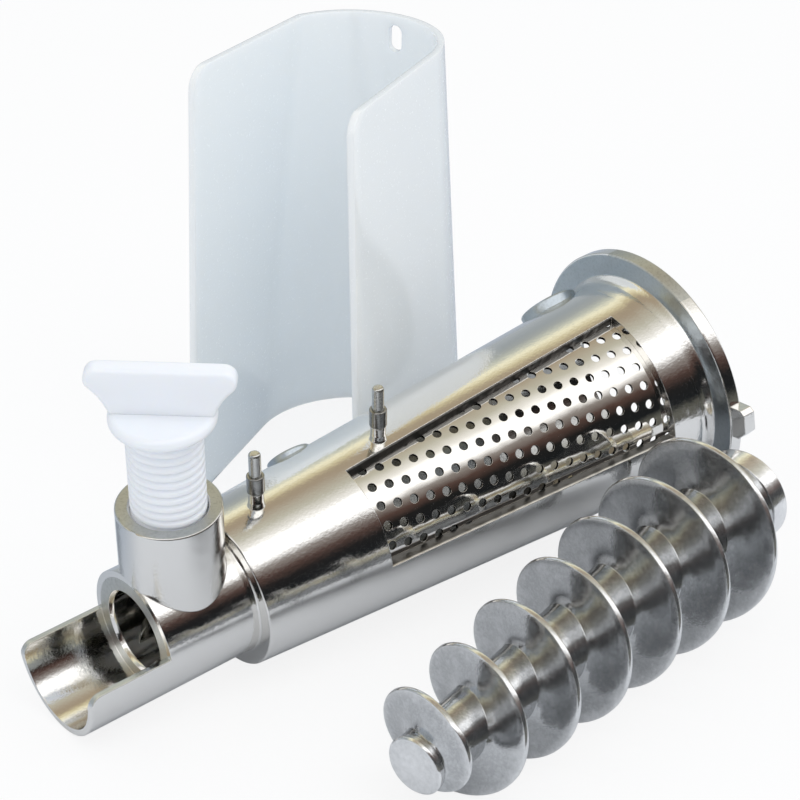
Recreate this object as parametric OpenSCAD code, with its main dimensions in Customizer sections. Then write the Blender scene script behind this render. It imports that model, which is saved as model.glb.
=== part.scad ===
// Screw juicer attachment for a hand meat grinder, laid out in pieces.
// A conical barrel with a strainer window, its adjusting screw, the tapered auger
// that turns inside it, and the splash cover that hangs on the barrel's two pins.
// Units are millimetres. Z is up and the floor is z = 0.

/* [Barrel] */
// Length from the spout tip to the rear face of the flange
barrel_len = 173.7; // [165:0.1:185]
// Outside diameter of the spout and the neck
spout_d = 30; // [28:0.5:32]
// Outside diameter of the cone at its small end
cone_d = 37.2; // [36:0.2:40]
// Outside diameter of the cone where it meets the flange
cone_end_d = 52.3; // [51.6:0.1:54]
// Distance from the spout tip to the small end of the cone
cone_start = 44.2; // [44:0.1:48]
// Diameter of the round flange
flange_d = 67.4; // [64:0.2:74]
// Thickness of the flange
flange_t = 3.7; // [3:0.1:6]
// Diameter of the raised ring on the front of the flange
flare_d = 56.2; // [54.5:0.1:58]
// Distance from the cone's small end to the low pad on the back of the cone
front_pad_step = 30.3; // [26:0.1:38]
// Diameter of that pad
front_pad_d = 11; // [8:0.5:13]
// Height of that pad above the cone
front_pad_h = 0.8; // [0.5:0.1:2]
// Distance from the rear face to the pad near the flange
rear_pad_back = 15.7; // [14.7:0.1:24]
// Diameter of the pad near the flange
rear_pad_d = 15; // [10:0.5:16]
// Height of the pad near the flange above the cone
rear_pad_h = 1.6; // [0.8:0.1:3]
// Turn of both pads from the boss
pad_turn = -56; // [-70:1:-50]
// Length of the flare between the cone and the flange
flare_len = 3.4; // [2:0.1:5]
// Height of the key lug above the flange rim
lug_h = 4.3; // [3:0.1:6]
// Width of the key lug
lug_w = 8; // [6:0.5:12]
// Angle of the key lug from the boss
lug_at = 78; // [60:1:100]

/* [Spout and boss] */
// Length of the open trough
trough_len = 20.8; // [16:0.1:22]
// Wall of the trough
trough_wall = 1.6; // [1.2:0.1:3]
// Height of the trough's rims above the axis
trough_rim = 0.2; // [-2:0.1:3]
// Turn of the trough's open side away from the boss
trough_turn = 10; // [0:1:15]
// Corner radius at the trough's tips
trough_corner = 3; // [1:0.5:5]
// Diameter of the pulp outlet
outlet_d = 18.9; // [16:0.1:20]
// Distance from the spout tip to the middle of the boss
boss_at = 31.8; // [31:0.1:32.5]
// Outside diameter of the boss
boss_d = 23.4; // [22:0.1:24]
// Height of the boss above the axis
boss_h = 31.1; // [28:0.1:36]
// Depth of the screw's hole below the axis, where it closes the outlet
boss_drill = 8.4; // [0:0.1:9]

/* [Window and strainer] */
// Distance from the cone's small end to the window
window_step = 32.4; // [30:0.1:36]
// Distance from the window to the barrel's rear face
window_back = 15.1; // [13:0.1:27]
// Sideways place of the window's top edge at its small end
window_side = 3.7; // [3:0.1:5]
// Turn of the window's top edge
window_turn = 1.45; // [0:0.05:2]
// Height of the window's lower edge above the axis
window_sill = 2.9; // [2:0.1:5]
// Thickness of the strainer sheet
sheet_t = 0.8; // [0.5:0.1:1]
// Overlap of the sheet behind the window's ends
sheet_lap = 4; // [2:0.5:5]
// First angle that the sheet covers, from the boss
sheet_from = -8; // [-14:1:-2]
// Last angle that the sheet covers
sheet_to = 98; // [92:1:110]
// Diameter of the strainer holes
hole_d = 2.2; // [1.4:0.1:2.6]
// Distance between holes along a row
hole_pitch = 4.22; // [3.8:0.01:6]
// Distance between rows
row_pitch = 4.53; // [4:0.01:6]
// Turn of the rows from the cone's own lines
row_turn = 12.7; // [0:0.1:20]
// Turn of the columns from square
column_turn = 6; // [0:0.5:12]

/* [Cover pins] */
// Distance from the cone's small end to the first pin
pin_step = 10.3; // [8:0.1:16]
// Distance between the two pins
pin_gap = 34.2; // [30:0.1:40]
// Diameter of a pin
pin_d = 2.8; // [2.2:0.1:3.2]
// Height of a pin above the cone
pin_h = 14.7; // [12:0.1:18]
// Depth of a pin in its stub and the wall
pin_depth = 5.5; // [4:0.1:6]
// Outside diameter of a pin's collar
collar_d = 4.1; // [3.9:0.1:5]
// Length of a pin's collar
collar_len = 4.6; // [3:0.1:5]
// Height of the cast stub under a collar
stub_h = 3.9; // [2.5:0.1:5]

/* [Adjusting screw] */
// Outside diameter of the screw
screw_d = 16.7; // [14:0.1:18]
// Length of the threaded shank
shank_len = 39.5; // [36:0.5:42]
// Length of shank that stands above the boss
screw_out = 22.6; // [20:0.1:24]
// Diameter of the disc under the wing
disc_d = 23.2; // [20:0.2:26]
// Thickness of the disc
disc_t = 3.2; // [2:0.1:5]
// Width of the wing at its top
wing_w = 32; // [26:0.5:38]
// Height of the wing above the disc
wing_h = 11; // [8:0.5:16]
// Thickness of the wing
wing_t = 4.6; // [3:0.1:7]
// Radius of the wing's ends
wing_end_r = 2.9; // [2:0.1:4]
// Turn of the wing about the screw
wing_turn = 139; // [0:1:180]

/* [Auger] */
// Distance from the cone's small end to the auger's seat in the barrel
seat_step = 2.25; // [2:0.05:4]
// Diameter of the flights at the small end
auger_d = 28.8; // [26:0.1:28.9]
// Growth of the flights' radius per millimetre of length
auger_taper = 0.068; // [0.06:0.001:0.069]
// Diameter of the pin at the small end
auger_pin_d = 13.56; // [11:0.02:16]
// Length of the pin's head
auger_pin_len = 1.6; // [1:0.1:1.8]
// Diameter of the core at the small end
core_d = 13; // [11:0.1:13.1]
// Diameter of the core before the hub
core_end_d = 20.6; // [18:0.1:22]
// Diameter of the drive hub
hub_d = 23.4; // [22:0.1:25]
// Length of the drive hub
hub_len = 5.8; // [4:0.1:6]
// Distance from the flight's end to the hub
flight_back = 2.63; // [2.2:0.01:4]
// Growth of the lead per turn, as a share of the first lead
lead_growth = 0.0124; // [0.006:0.0001:0.015]
// Width of the flight's crest
crest_w = 1.3; // [0.8:0.1:2]
// Width of the square drive socket
socket_w = 9; // [7:0.5:12]
// Depth of the square drive socket
socket_depth = 14; // [6:0.5:20]

/* [Splash cover] */
// Height of the cover as it stands
cover_h = 110; // [90:1:130]
// Wall of the cover
cover_wall = 2.1; // [1.6:0.1:3]
// Outside radius of the cover's back at its small end
cover_top_r = 23.6; // [23:0.1:26]
// Outside radius of the cover's back at its wide end
cover_foot_r = 28.1; // [27:0.1:31]
// Reach of the left wall in front of the back's centre at the small end
cover_left_reach = 35.9; // [30:0.1:44]
// Reach of the right wall at the small end
cover_right_reach = 46.7; // [40:0.1:50]
// Reach of both walls at the wide end
cover_foot_reach = 44.5; // [36:0.1:50]
// Half width of the mouth at the small end
cover_top_mouth = 24.9; // [23:0.1:26]
// Half width of the mouth at the wide end
cover_foot_mouth = 24.3; // [23:0.1:28]
// Angle of the back's arc where the left wall leaves it at the small end
cover_bend = 60; // [50:1:90]
// Radius of the mouth's four corners
cover_corner = 5.5; // [2:0.5:10]
// Width of a hanging slot
slot_w = 3.8; // [3.6:0.1:5]
// Length of a hanging slot
slot_len = 7; // [5:0.1:9]
// Distance from the small end to the first slot
slot_at = 6; // [6:0.1:9]
// Sideways place of the slots from the middle of the back
slot_side = -2; // [-4:0.1:4]

/* [Fits] */
// Gap between the auger and the bore, on the radius
auger_gap = 0.45; // [0.2:0.05:0.8]
// Gap between the screw and the boss, on the radius
screw_gap = 0.1; // [0.05:0.01:0.2]
// Gap between a pressed piece and its seat
press_gap = 0.03; // [0.02:0.01:0.06]

/* [Layout] */
// Place of the spout tip along X
barrel_x = -88.2; // [-120:0.1:0]
// Place of the barrel across the floor
barrel_y = -4.8; // [-10:0.1:10]
// Roll of the barrel about its own axis
barrel_roll = 7.8; // [0:0.1:15]
// Place of the auger's pin end along X
auger_x = -47.3; // [-60:0.1:-30]
// Place of the auger's pin end across the floor
auger_y = -78.2; // [-90:0.1:-77]
// Turn of the auger on the floor
auger_yaw = 13.3; // [0:0.1:14]
// Place of the cover's back centre along X
cover_x = 42.8; // [30:0.1:60]
// Place of the cover's back centre across the floor
cover_y = 60.8; // [60.2:0.1:80]
// Turn of the cover on the floor
cover_yaw = 26; // [15:1:30]

/* [Hidden] */
$fn = 96;
cut = 0.5;
flare_step = 0.4;
rim_chamfer = 0.6;
outlet_chamfer = 1;
screw_chamfer = 0.8;
spout_r = spout_d / 2;
flange_r = flange_d / 2;
outlet_r = outlet_d / 2;
flange_front = barrel_len - flange_t;
flare_start = flange_front - flare_len;
cone_slope = (cone_end_d - cone_d) / 2 / (flare_start - cone_start);
auger_r = auger_d / 2;
auger_seat = cone_start + seat_step;
auger_len = barrel_len - auger_seat - auger_gap;
barrel_tilt = atan((flange_r - spout_r) / (flange_front + rim_chamfer));
auger_tilt = atan(auger_taper);
window_at = cone_start + window_step;
window_end = barrel_len - window_back;
front_pin_at = cone_start + pin_step;
rear_pin_at = front_pin_at + pin_gap;
stub_r = collar_d / 2 - 0.25;

// Cover: how far its back's arc goes on past square, and facets round it
cover_wrap = 5;
arc_steps = 36;

// Flight: turns, ends of its run-in and run-out, and its section
steps = 40;
first_turn = 0.04;
flight_turns = 7;
hub_blend = 0.8;
run_in = 0.42;
run_in_lead = 0.2;
run_out_from = 6.74;
run_out_to = 6.98;
crest_phase = -94.5;
crest_offset = -3.4;
flank = [[2.6, 0], [1.5, 0.22], [1, 0.55]];
core_from = auger_pin_len;
core_to = auger_len - hub_len;
flight_lead =
    (core_to - flight_back - crest_offset) / (run_out_to + lead_growth / 2 * run_out_to * run_out_to);

// Radius of the cone's outside at distance s from the spout tip
function cone_r(s) = cone_d / 2 + (s - cone_start) * cone_slope;
// Radius of the barrel's bore, which follows the auger
function bore_r(s) = auger_r + auger_gap + (s - auger_seat) * auger_taper;
// Radius of the flights at distance u from the auger's pin end
function flight_r(u) = auger_r + u * auger_taper;
function ease(a) = a <= 0 ? 0 : a >= 1 ? 1 : a * a * (3 - 2 * a);

module barrel_place() {
    translate([barrel_x, barrel_y, spout_r * cos(barrel_tilt)])
        rotate([0, 90 - barrel_tilt, 0])
            rotate(180 + barrel_roll)
                children();
}

module auger_place() {
    translate([auger_x, auger_y, auger_r * cos(auger_tilt)])
        rotate([0, 90 - auger_tilt, auger_yaw])
            rotate(180)
                children();
}

module cover_place() {
    translate([cover_x, cover_y, 0])
        rotate(cover_yaw)
            children();
}

// Turned outside of the barrel, from the spout tip to the flange
module barrel_outside() {
    cylinder(h = cone_start + cut, r = spout_r);
    rotate_extrude()
        polygon([
            [0, cone_start], [cone_d / 2, cone_start], [cone_r(flare_start), flare_start],
            [cone_r(flare_start) + 0.35, flare_start + flare_len * 0.45],
            [flare_d / 2 - rim_chamfer, flange_front - flare_step],
            [flare_d / 2, flange_front - flare_step + 0.15], [flare_d / 2, flange_front],
            [flange_r - rim_chamfer, flange_front], [flange_r, flange_front + rim_chamfer],
            [flange_r, barrel_len - rim_chamfer], [flange_r - rim_chamfer, barrel_len],
            [0, barrel_len]
        ]);
}

// Key lug on the flange rim, with its outer corners cut off
module key_lug() {
    lug_top = flange_r + lug_h;
    rotate(lug_at)
        translate([0, 0, flange_front])
            linear_extrude(flange_t)
                polygon([
                    [flange_r - 2, -lug_w / 2], [lug_top - 1.2, -lug_w / 2], [lug_top, 1 - lug_w / 2],
                    [lug_top, lug_w / 2 - 2.2], [lug_top - 2.4, lug_w / 2], [flange_r - 2, lug_w / 2]
                ]);
}

module boss() {
    translate([0, 0, boss_at])
        rotate([0, 90, 0])
            cylinder(h = boss_h, d = boss_d);
}

// Stub that carries a cover pin, wider where it meets the cone
module pin_stub(s) {
    translate([cone_r(s) - 1, 0, s])
        rotate([0, 90, 0])
            rotate_extrude()
                polygon([
                    [0, 0], [collar_d / 2 + 0.35, 0], [collar_d / 2 + 0.3, 1.2],
                    [stub_r, 2.4], [stub_r, stub_h + 1], [0, stub_h + 1]
                ]);
}

// Low round pad on the side away from the window
module side_pad(s, d, h) {
    rotate(pad_turn)
        translate([0, 0, s])
            rotate([0, 90 - atan(cone_slope), 0])
                cylinder(h = cone_r(s) + h, d = d);
}

// Open half of the spout, with rounded tips
module trough_opening() {
    rotate(-trough_turn) {
        translate([0, 0, -cut])
            linear_extrude(trough_len + cut) {
                circle(r = spout_r - trough_wall);
                translate([trough_rim, -spout_r - cut])
                    square([spout_d, spout_d + 2 * cut]);
            }
        translate([trough_rim - trough_corner, -spout_r - cut, -cut])
            difference() {
                cube([trough_corner + cut, spout_d + 2 * cut, trough_corner + cut]);
                translate([0, -cut, trough_corner + cut])
                    rotate([-90, 0, 0])
                        cylinder(h = spout_d + 4 * cut, r = trough_corner);
            }
    }
}

// Turned inside of the barrel: outlet, pulp channel and the auger's bore
module barrel_inside() {
    translate([0, 0, trough_len - cut])
        cylinder(h = barrel_len - trough_len, r = outlet_r);
    translate([0, 0, trough_len - cut])
        cylinder(h = outlet_chamfer + cut, r1 = outlet_r + outlet_chamfer + cut, r2 = outlet_r);
    rotate_extrude()
        polygon([
            [0, auger_seat - 0.6], [bore_r(auger_seat) - 1.5, auger_seat - 0.6],
            [bore_r(auger_seat), auger_seat + 0.9],
            [bore_r(barrel_len), barrel_len + cut], [0, barrel_len + cut]
        ]);
    translate([-boss_drill, 0, boss_at])
        rotate([0, 90, 0])
            cylinder(h = boss_drill + boss_h + cut, d = screw_d + 2 * screw_gap);
}

// Opening in the cone's side, with edges square to the boss
module window() {
    translate([0, window_side, window_at])
        rotate([window_turn, 0, 0])
            translate([window_sill, 0, 0])
                cube([cone_end_d, cone_end_d, window_end - window_at]);
}

// Part of a cone shell between two angles, as thick as the strainer sheet
module cone_sheet(s0, s1, a0, a1, grow, under) {
    rotate(a0)
        rotate_extrude(angle = a1 - a0)
            polygon([
                [bore_r(s0) - under, s0], [bore_r(s0) + sheet_t + grow, s0],
                [bore_r(s1) + sheet_t + grow, s1], [bore_r(s1) - under, s1]
            ]);
}

module barrel_body() {
    color([0.77, 0.77, 0.75])
        barrel_place()
            difference() {
                union() {
                    barrel_outside();
                    key_lug();
                    boss();
                    for (s = [front_pin_at, rear_pin_at])
                        pin_stub(s);
                    side_pad(cone_start + front_pad_step, front_pad_d, front_pad_h);
                    side_pad(barrel_len - rear_pad_back, rear_pad_d, rear_pad_h);
                }
                barrel_inside();
                trough_opening();
                window();
                cone_sheet(window_at - sheet_lap, window_end + sheet_lap, sheet_from, sheet_to, press_gap, cut);
                for (s = [front_pin_at, rear_pin_at])
                    pin_hole(s);
            }
}

// Blind hole in a stub and the wall below it
module pin_hole(s) {
    translate([cone_r(s) + stub_h - pin_depth, 0, s])
        rotate([0, 90, 0])
            cylinder(h = pin_depth + cut, d = pin_d + 2 * press_gap);
}

// Points of the hole pattern, laid out flat on the unrolled cone
apex = cone_start + (auger_r + auger_gap + (cone_start - auger_seat) * auger_taper) / -auger_taper;
slant = sqrt(1 + auger_taper * auger_taper);
pattern_s = window_end - 27.6;
pattern_at = 33.6;
pattern_slant = (pattern_s - apex) * slant;
row_dir = [cos(row_turn), sin(row_turn)] * hole_pitch;
column_dir = [-sin(column_turn), cos(column_turn)] * row_pitch;
unroll = auger_taper / slant;
function flat_point(i, j) = [pattern_slant, 0] + i * row_dir + j * column_dir;
function hole_s(q) = apex + norm(q) / slant;
function hole_angle(q) = pattern_at + atan2(q[1], q[0]) / unroll;
function in_sheet(q) =
    hole_s(q) > window_at - sheet_lap + hole_d &&
    hole_s(q) < window_end + sheet_lap - hole_d &&
    hole_angle(q) > sheet_from + 8 &&
    hole_angle(q) < sheet_to - 8;

module strainer_screen() {
    color([0.83, 0.82, 0.78])
        barrel_place()
            difference() {
                cone_sheet(window_at - sheet_lap + press_gap, window_end + sheet_lap - press_gap,
                           sheet_from + 0.2, sheet_to - 0.2, 0, 0);
                for (i = [-16:16], j = [-9:9]) {
                    q = flat_point(i, j);
                    if (in_sheet(q))
                        rotate(hole_angle(q))
                            translate([bore_r(hole_s(q)), 0, hole_s(q)])
                                rotate([0, 90 - auger_tilt, 0])
                                    translate([0, 0, -1])
                                        cylinder(h = sheet_t + 2, d = hole_d, $fn = 24);
                }
            }
}

// Round-ended pin that the cover hangs on
module cover_pin(s) {
    top = pin_h - stub_h + pin_depth;
    barrel_place()
        translate([cone_r(s) + stub_h - pin_depth + press_gap, 0, s])
            rotate([0, 90, 0])
                rotate_extrude()
                    polygon([
                        [0, 0], [pin_d / 2, 0], [pin_d / 2, top - 0.9],
                        for (a = [0:15:90]) [pin_d / 2 - 0.9 + 0.9 * cos(a), top - 0.9 + 0.9 * sin(a)],
                        [0, top]
                    ]);
}

// Collar pressed onto a pin, which the cover rests on
module pin_collar(s) {
    barrel_place()
        translate([cone_r(s) + stub_h + press_gap, 0, s])
            rotate([0, 90, 0])
                rotate_extrude()
                    polygon([
                        [pin_d / 2 + press_gap, 0], [collar_d / 2 - 0.2, 0], [collar_d / 2, 0.3],
                        [collar_d / 2, collar_len - 0.3], [collar_d / 2 - 0.2, collar_len],
                        [pin_d / 2 + press_gap, collar_len]
                    ]);
}

module front_cover_pin() { color([0.7, 0.7, 0.68]) cover_pin(front_pin_at); }
module rear_cover_pin() { color([0.7, 0.7, 0.68]) cover_pin(rear_pin_at); }
module front_pin_collar() { color([0.4, 0.4, 0.39]) pin_collar(front_pin_at); }
module rear_pin_collar() { color([0.4, 0.4, 0.39]) pin_collar(rear_pin_at); }

// Outline of the wing: a flared plate with round ends
module wing_outline() {
    end_x = wing_w / 2 - wing_end_r;
    end_y = wing_h - wing_end_r;
    polygon([
        [-disc_d / 2 + 0.3, -0.2], [disc_d / 2 - 0.3, -0.2],
        [end_x + wing_end_r * 0.72, end_y - wing_end_r * 0.69],
        [end_x, wing_h], [-end_x, wing_h],
        [-end_x - wing_end_r * 0.72, end_y - wing_end_r * 0.69]
    ]);
    for (side = [-1, 1])
        translate([side * end_x, end_y])
            circle(r = wing_end_r);
}

module adjusting_screw() {
    disc_from = boss_h + screw_out;
    color([0.93, 0.95, 0.98])
        barrel_place()
            translate([0, 0, boss_at])
                rotate([0, 90, 0]) {
                    translate([0, 0, disc_from - shank_len])
                        rotate_extrude()
                            polygon([
                                [0, 0], [screw_d / 2 - screw_chamfer, 0], [screw_d / 2, screw_chamfer],
                                [screw_d / 2, shank_len], [0, shank_len]
                            ]);
                    translate([0, 0, disc_from])
                        rotate_extrude()
                            polygon([
                                [0, 0], [disc_d / 2 - disc_t * 0.28, 0],
                                for (a = [-75:15:75])
                                    [disc_d / 2 - disc_t / 2 + disc_t / 2 * cos(a), disc_t / 2 * (1 + sin(a))],
                                [disc_d / 2 - disc_t * 0.28, disc_t], [0, disc_t]
                            ]);
                    translate([0, 0, disc_from + disc_t])
                        rotate(wing_turn)
                            rotate([90, 0, 0])
                                translate([0, 0, -wing_t / 2])
                                    linear_extrude(wing_t)
                                        wing_outline();
                }
}

// Flight position and height: t counts turns from the small end
function crest_plain(t) = crest_offset + flight_lead * (t + lead_growth / 2 * t * t);
function crest_u(t) =
    t < run_in ? crest_plain(run_in) - (run_in - t) * flight_lead * run_in_lead : crest_plain(t);
function flight_grow(t) =
    ease((t - first_turn) / (run_in - first_turn)) *
    (1 - ease((t - run_out_from) / (run_out_to - run_out_from)));
function core_r(u) =
    core_d / 2 + (core_end_d - core_d) / 2 * min(1, u / core_to) +
    (hub_d - core_end_d) / 2 * hub_blend * ease((u - core_to + 14) / 10);
function row_u(t, k) =
    max(core_from + (k + 1) * 0.05, crest_u(t) + flight_side(k) * max(0.25, flight_grow(t)));
function flight_side(k) =
    k < 3 ? -flank[k][0] : k == 3 ? -crest_w / 2 : k == 4 ? crest_w / 2 : flank[7 - k][0];
function flight_share(k) = k < 3 ? flank[k][1] : k < 5 ? 1 : flank[7 - k][1];
function row_r(t, k) =
    core_r(row_u(t, k)) + (flight_r(row_u(t, k)) - core_r(row_u(t, k))) * flight_grow(t) * flight_share(k);
function spin(t, r, u) = [r * sin(360 * t + crest_phase), r * cos(360 * t + crest_phase), u];

// Core and flight as one skin: columns run along the auger, and each turn adds eight rows
rows = 8 * flight_turns + 2;
flight_points = [
    for (c = [0:steps - 1])
        let (t0 = first_turn + c / steps)
            for (r = [0:rows - 1])
                r == 0 ? spin(t0, core_r(core_from), core_from) :
                r == rows - 1 ? spin(t0, core_r(core_to), core_to) :
                let (m = floor((r - 1) / 8), k = (r - 1) % 8)
                    spin(t0, row_r(t0 + m, k), row_u(t0 + m, k))
];
function at_row(c, r) = c * rows + r;
// Row of the first column that meets row r of the last one, a turn further on
function next_row(r) = r == 0 ? 0 : min(r + 8, rows - 1);
flight_faces = [
    for (c = [0:steps - 2], r = [0:rows - 2])
        each [[at_row(c, r), at_row(c + 1, r), at_row(c + 1, r + 1)],
              [at_row(c, r), at_row(c + 1, r + 1), at_row(c, r + 1)]],
    for (r = [0:8])
        [at_row(steps - 1, 0), at_row(0, r), at_row(0, r + 1)],
    [at_row(steps - 1, 0), at_row(0, 9), at_row(steps - 1, 1)],
    for (r = [1:rows - 2])
        each [if (next_row(r) < next_row(r + 1))
                  [at_row(steps - 1, r), at_row(0, next_row(r)), at_row(0, next_row(r + 1))],
              [at_row(steps - 1, r), at_row(0, next_row(r + 1)), at_row(steps - 1, r + 1)]],
    [for (c = [0:steps - 1]) at_row(steps - 1 - c, 0)],
    [for (c = [0:steps - 1]) at_row(c, rows - 1)]
];

module auger() {
    color([0.72, 0.72, 0.71])
        auger_place()
            difference() {
                union() {
                    cylinder(h = auger_pin_len, d = auger_pin_d);
                    polyhedron(points = flight_points, faces = flight_faces);
                    translate([0, 0, core_to])
                        cylinder(h = hub_len, d = hub_d);
                }
                translate([-socket_w / 2, -socket_w / 2, auger_len - socket_depth])
                    cube([socket_w, socket_w, socket_depth + cut]);
            }
}

// Outline of the cover at one height: left wall, back arc from angle a0 to a1, right wall
function cover_path(r, left, right, mouth, a0, a1) = [
    [-left, mouth],
    for (i = [0:arc_steps])
        let (a = a0 + (a1 - a0) * i / arc_steps) [r * cos(a), r * sin(a)],
    [-right, -mouth]
];
function cover_ring(r, left, right, mouth, a0, a1, shift, z) = [
    for (inset = [0, cover_wall], q = cover_path(r - inset, left, right, mouth - inset, a0, a1))
        [q[0] + shift[0], q[1] + shift[1], z]
];

module splash_cover() {
    path_n = arc_steps + 3;
    lean = (cover_foot_r - cover_top_r) * [1, 0.83];
    foot = cover_ring(cover_foot_r, cover_foot_reach, cover_foot_reach, cover_foot_mouth,
                      90 + cover_wrap, -90 - cover_wrap, [0, 0], 0);
    head = cover_ring(cover_top_r, cover_left_reach, cover_right_reach, cover_top_mouth,
                      cover_bend, -90, lean, cover_h);
    n = 2 * path_n;
    order = [for (i = [0:path_n - 1]) i, for (i = [0:path_n - 1]) n - 1 - i];
    color([0.9, 0.94, 0.98])
        cover_place()
            difference() {
                polyhedron(
                    points = concat(foot, head),
                    faces = [
                        for (i = [0:n - 1])
                            let (a = order[i], b = order[(i + 1) % n])
                                each [[a, b, b + n], [a, b + n, a + n]],
                        for (i = [0:path_n - 2])
                            each [[i, i + path_n, i + path_n + 1], [i, i + path_n + 1, i + 1],
                                  [n + i, n + i + 1, n + i + path_n + 1],
                                  [n + i, n + i + path_n + 1, n + i + path_n]]
                    ]);
                mouth_corner(-cover_left_reach + lean[0], cover_h, 1, 0);
                mouth_corner(-cover_right_reach + lean[0], cover_h, 1, 1);
                for (side = [0, 1])
                    mouth_corner(-cover_foot_reach, 0, -1, side);
                for (down = [slot_at, slot_at + pin_gap])
                    hanging_slot(cover_h - down, lean);
            }
}

// Cutter that rounds a corner of the mouth, on the left (0) or the right (1)
module mouth_corner(x, z, up, side) {
    slack = 0.6;
    reach = cover_foot_r + cover_corner;
    translate([x - slack, -side * reach, z])
        mirror([0, 0, up > 0 ? 0 : 1])
            translate([0, 0, slack - cover_corner])
                difference() {
                    translate([-cover_corner, 0, 0])
                        cube([2 * cover_corner, reach, 2 * cover_corner]);
                    translate([cover_corner, -cut, 0])
                        rotate([-90, 0, 0])
                            cylinder(h = reach + 2 * cut, r = cover_corner);
                }
}

module hanging_slot(z, lean) {
    straight = slot_len - slot_w;
    translate([0, lean[1] * z / cover_h + slot_side, z])
        rotate([0, 90, 0]) {
            for (side = [-1, 1])
                translate([side * straight / 2, 0, 0])
                    cylinder(h = 2 * cover_foot_r, d = slot_w);
            translate([-straight / 2, -slot_w / 2, 0])
                cube([straight, slot_w, 2 * cover_foot_r]);
        }
}

barrel_body();
strainer_screen();
front_cover_pin();
rear_cover_pin();
front_pin_collar();
rear_pin_collar();
adjusting_screw();
auger();
splash_cover();
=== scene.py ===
"""Looks of a screw juicer attachment that lies in pieces on a pale floor.

The barrel, strainer, screw, auger, cover and pins are built here from named sizes, each in its own
local millimetres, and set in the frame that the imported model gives.
"""
import math

import bmesh
import bpy
import numpy as np
from bpy.props import FloatProperty, FloatVectorProperty, IntProperty, PointerProperty
from mathutils import Matrix, Vector


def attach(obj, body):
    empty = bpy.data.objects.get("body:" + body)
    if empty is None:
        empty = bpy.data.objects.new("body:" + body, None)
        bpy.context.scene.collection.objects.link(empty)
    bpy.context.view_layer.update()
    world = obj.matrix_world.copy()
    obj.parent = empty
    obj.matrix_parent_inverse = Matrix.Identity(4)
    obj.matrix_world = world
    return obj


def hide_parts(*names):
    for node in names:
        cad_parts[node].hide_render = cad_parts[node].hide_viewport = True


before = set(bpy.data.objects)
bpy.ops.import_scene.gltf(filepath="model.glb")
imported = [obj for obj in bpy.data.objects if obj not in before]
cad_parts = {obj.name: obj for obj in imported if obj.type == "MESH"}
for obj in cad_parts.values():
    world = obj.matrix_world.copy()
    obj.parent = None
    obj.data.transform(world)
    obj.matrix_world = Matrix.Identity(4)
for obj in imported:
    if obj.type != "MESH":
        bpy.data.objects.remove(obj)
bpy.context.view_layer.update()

bl_info = {
    "name": "Juicer attachment",
    "version": (1, 0, 0),
    "blender": (4, 5, 0),
    "location": "View3D > Sidebar > Juicer",
    "description": "Builds a screw juicer attachment: barrel, strainer, screw, auger and cover",
    "category": "Object",
}

MM = 0.001
ROUND = 160  # facets round a turned piece


def length(name, description, value):
    """A size in millimetres, kept as a Blender length."""
    return FloatProperty(name=name, description=description, default=value * MM, unit="LENGTH",
                         precision=5)


def angle(name, description, degrees):
    return FloatProperty(name=name, description=description, default=math.radians(degrees), subtype="ANGLE")


def tone(name, description, value):
    return FloatVectorProperty(name=name, description=description, default=value, size=3,
                               subtype="COLOR", min=0.0, max=1.0)


def amount(name, description, value):
    return FloatProperty(name=name, description=description, default=value)


# Sizes and colours


class BarrelSettings(bpy.types.PropertyGroup):
    """The plated barrel and its place."""
    place_x: length("Place X", "Spout tip along X", -88.2)
    place_y: length("Place Y", "Spout tip across the floor", -4.8)
    tilt: angle("Tilt", "Rise of the axis from spout to flange", 6.2554)
    roll: angle("Roll", "Turn of the boss towards the viewer", 7.8)
    total: length("Length", "Spout tip to the flange's rear face", 173.7)
    spout_r: length("Spout radius", "Outside of the spout and neck", 15.0)
    cone_r: length("Cone radius", "Outside of the cone's small end", 18.6)
    cone_end_r: length("Cone end radius", "Outside of the cone at the flare", 26.15)
    cone_at: length("Cone start", "Distance from the spout tip", 44.2)
    flange_r: length("Flange radius", "Rim of the flange", 33.7)
    flange_t: length("Flange thickness", "Rim to rear face", 3.7)
    flare_r: length("Flare radius", "Edge in front of the flange", 28.1)
    flare_len: length("Flare length", "From the cone to the flange", 3.4)
    trough_len: length("Trough length", "Open part of the spout", 20.8)
    trough_wall: length("Trough wall", "Wall of the spout", 1.6)
    trough_rim: length("Trough rim", "Rims above the axis", 0.2)
    trough_turn: angle("Trough turn", "Turn of the open side from the boss", 10)
    trough_corner: length("Trough corner", "Radius at the spout's tips", 3.0)
    outlet_r: length("Outlet radius", "Pulp outlet", 9.45)
    boss_at: length("Boss place", "Distance from the spout tip", 31.8)
    boss_r: length("Boss radius", "Outside of the boss", 11.7)
    boss_h: length("Boss height", "Top above the axis", 31.1)
    boss_drill: length("Boss drilling", "Hole's depth below the axis", 8.4)
    boss_bore_r: length("Boss bore radius", "Hole for the screw", 8.45)
    lug_h: length("Lug height", "Key lug above the rim", 4.3)
    lug_w: length("Lug width", "Key lug round the rim", 8.0)
    lug_turn: angle("Lug turn", "Key lug's angle from the boss", 78)
    window_at: length("Window place", "Distance from the spout tip", 76.6)
    window_len: length("Window length", "Along the cone", 82.0)
    window_side: length("Window side", "Top edge's sideways place", 3.7)
    window_turn: angle("Window turn", "Turn of the top edge", 1.45)
    window_sill: length("Window sill", "Lower edge above the axis", 2.9)
    pad_turn: angle("Pad turn", "Angle of both low pads from the boss", -56)


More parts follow.
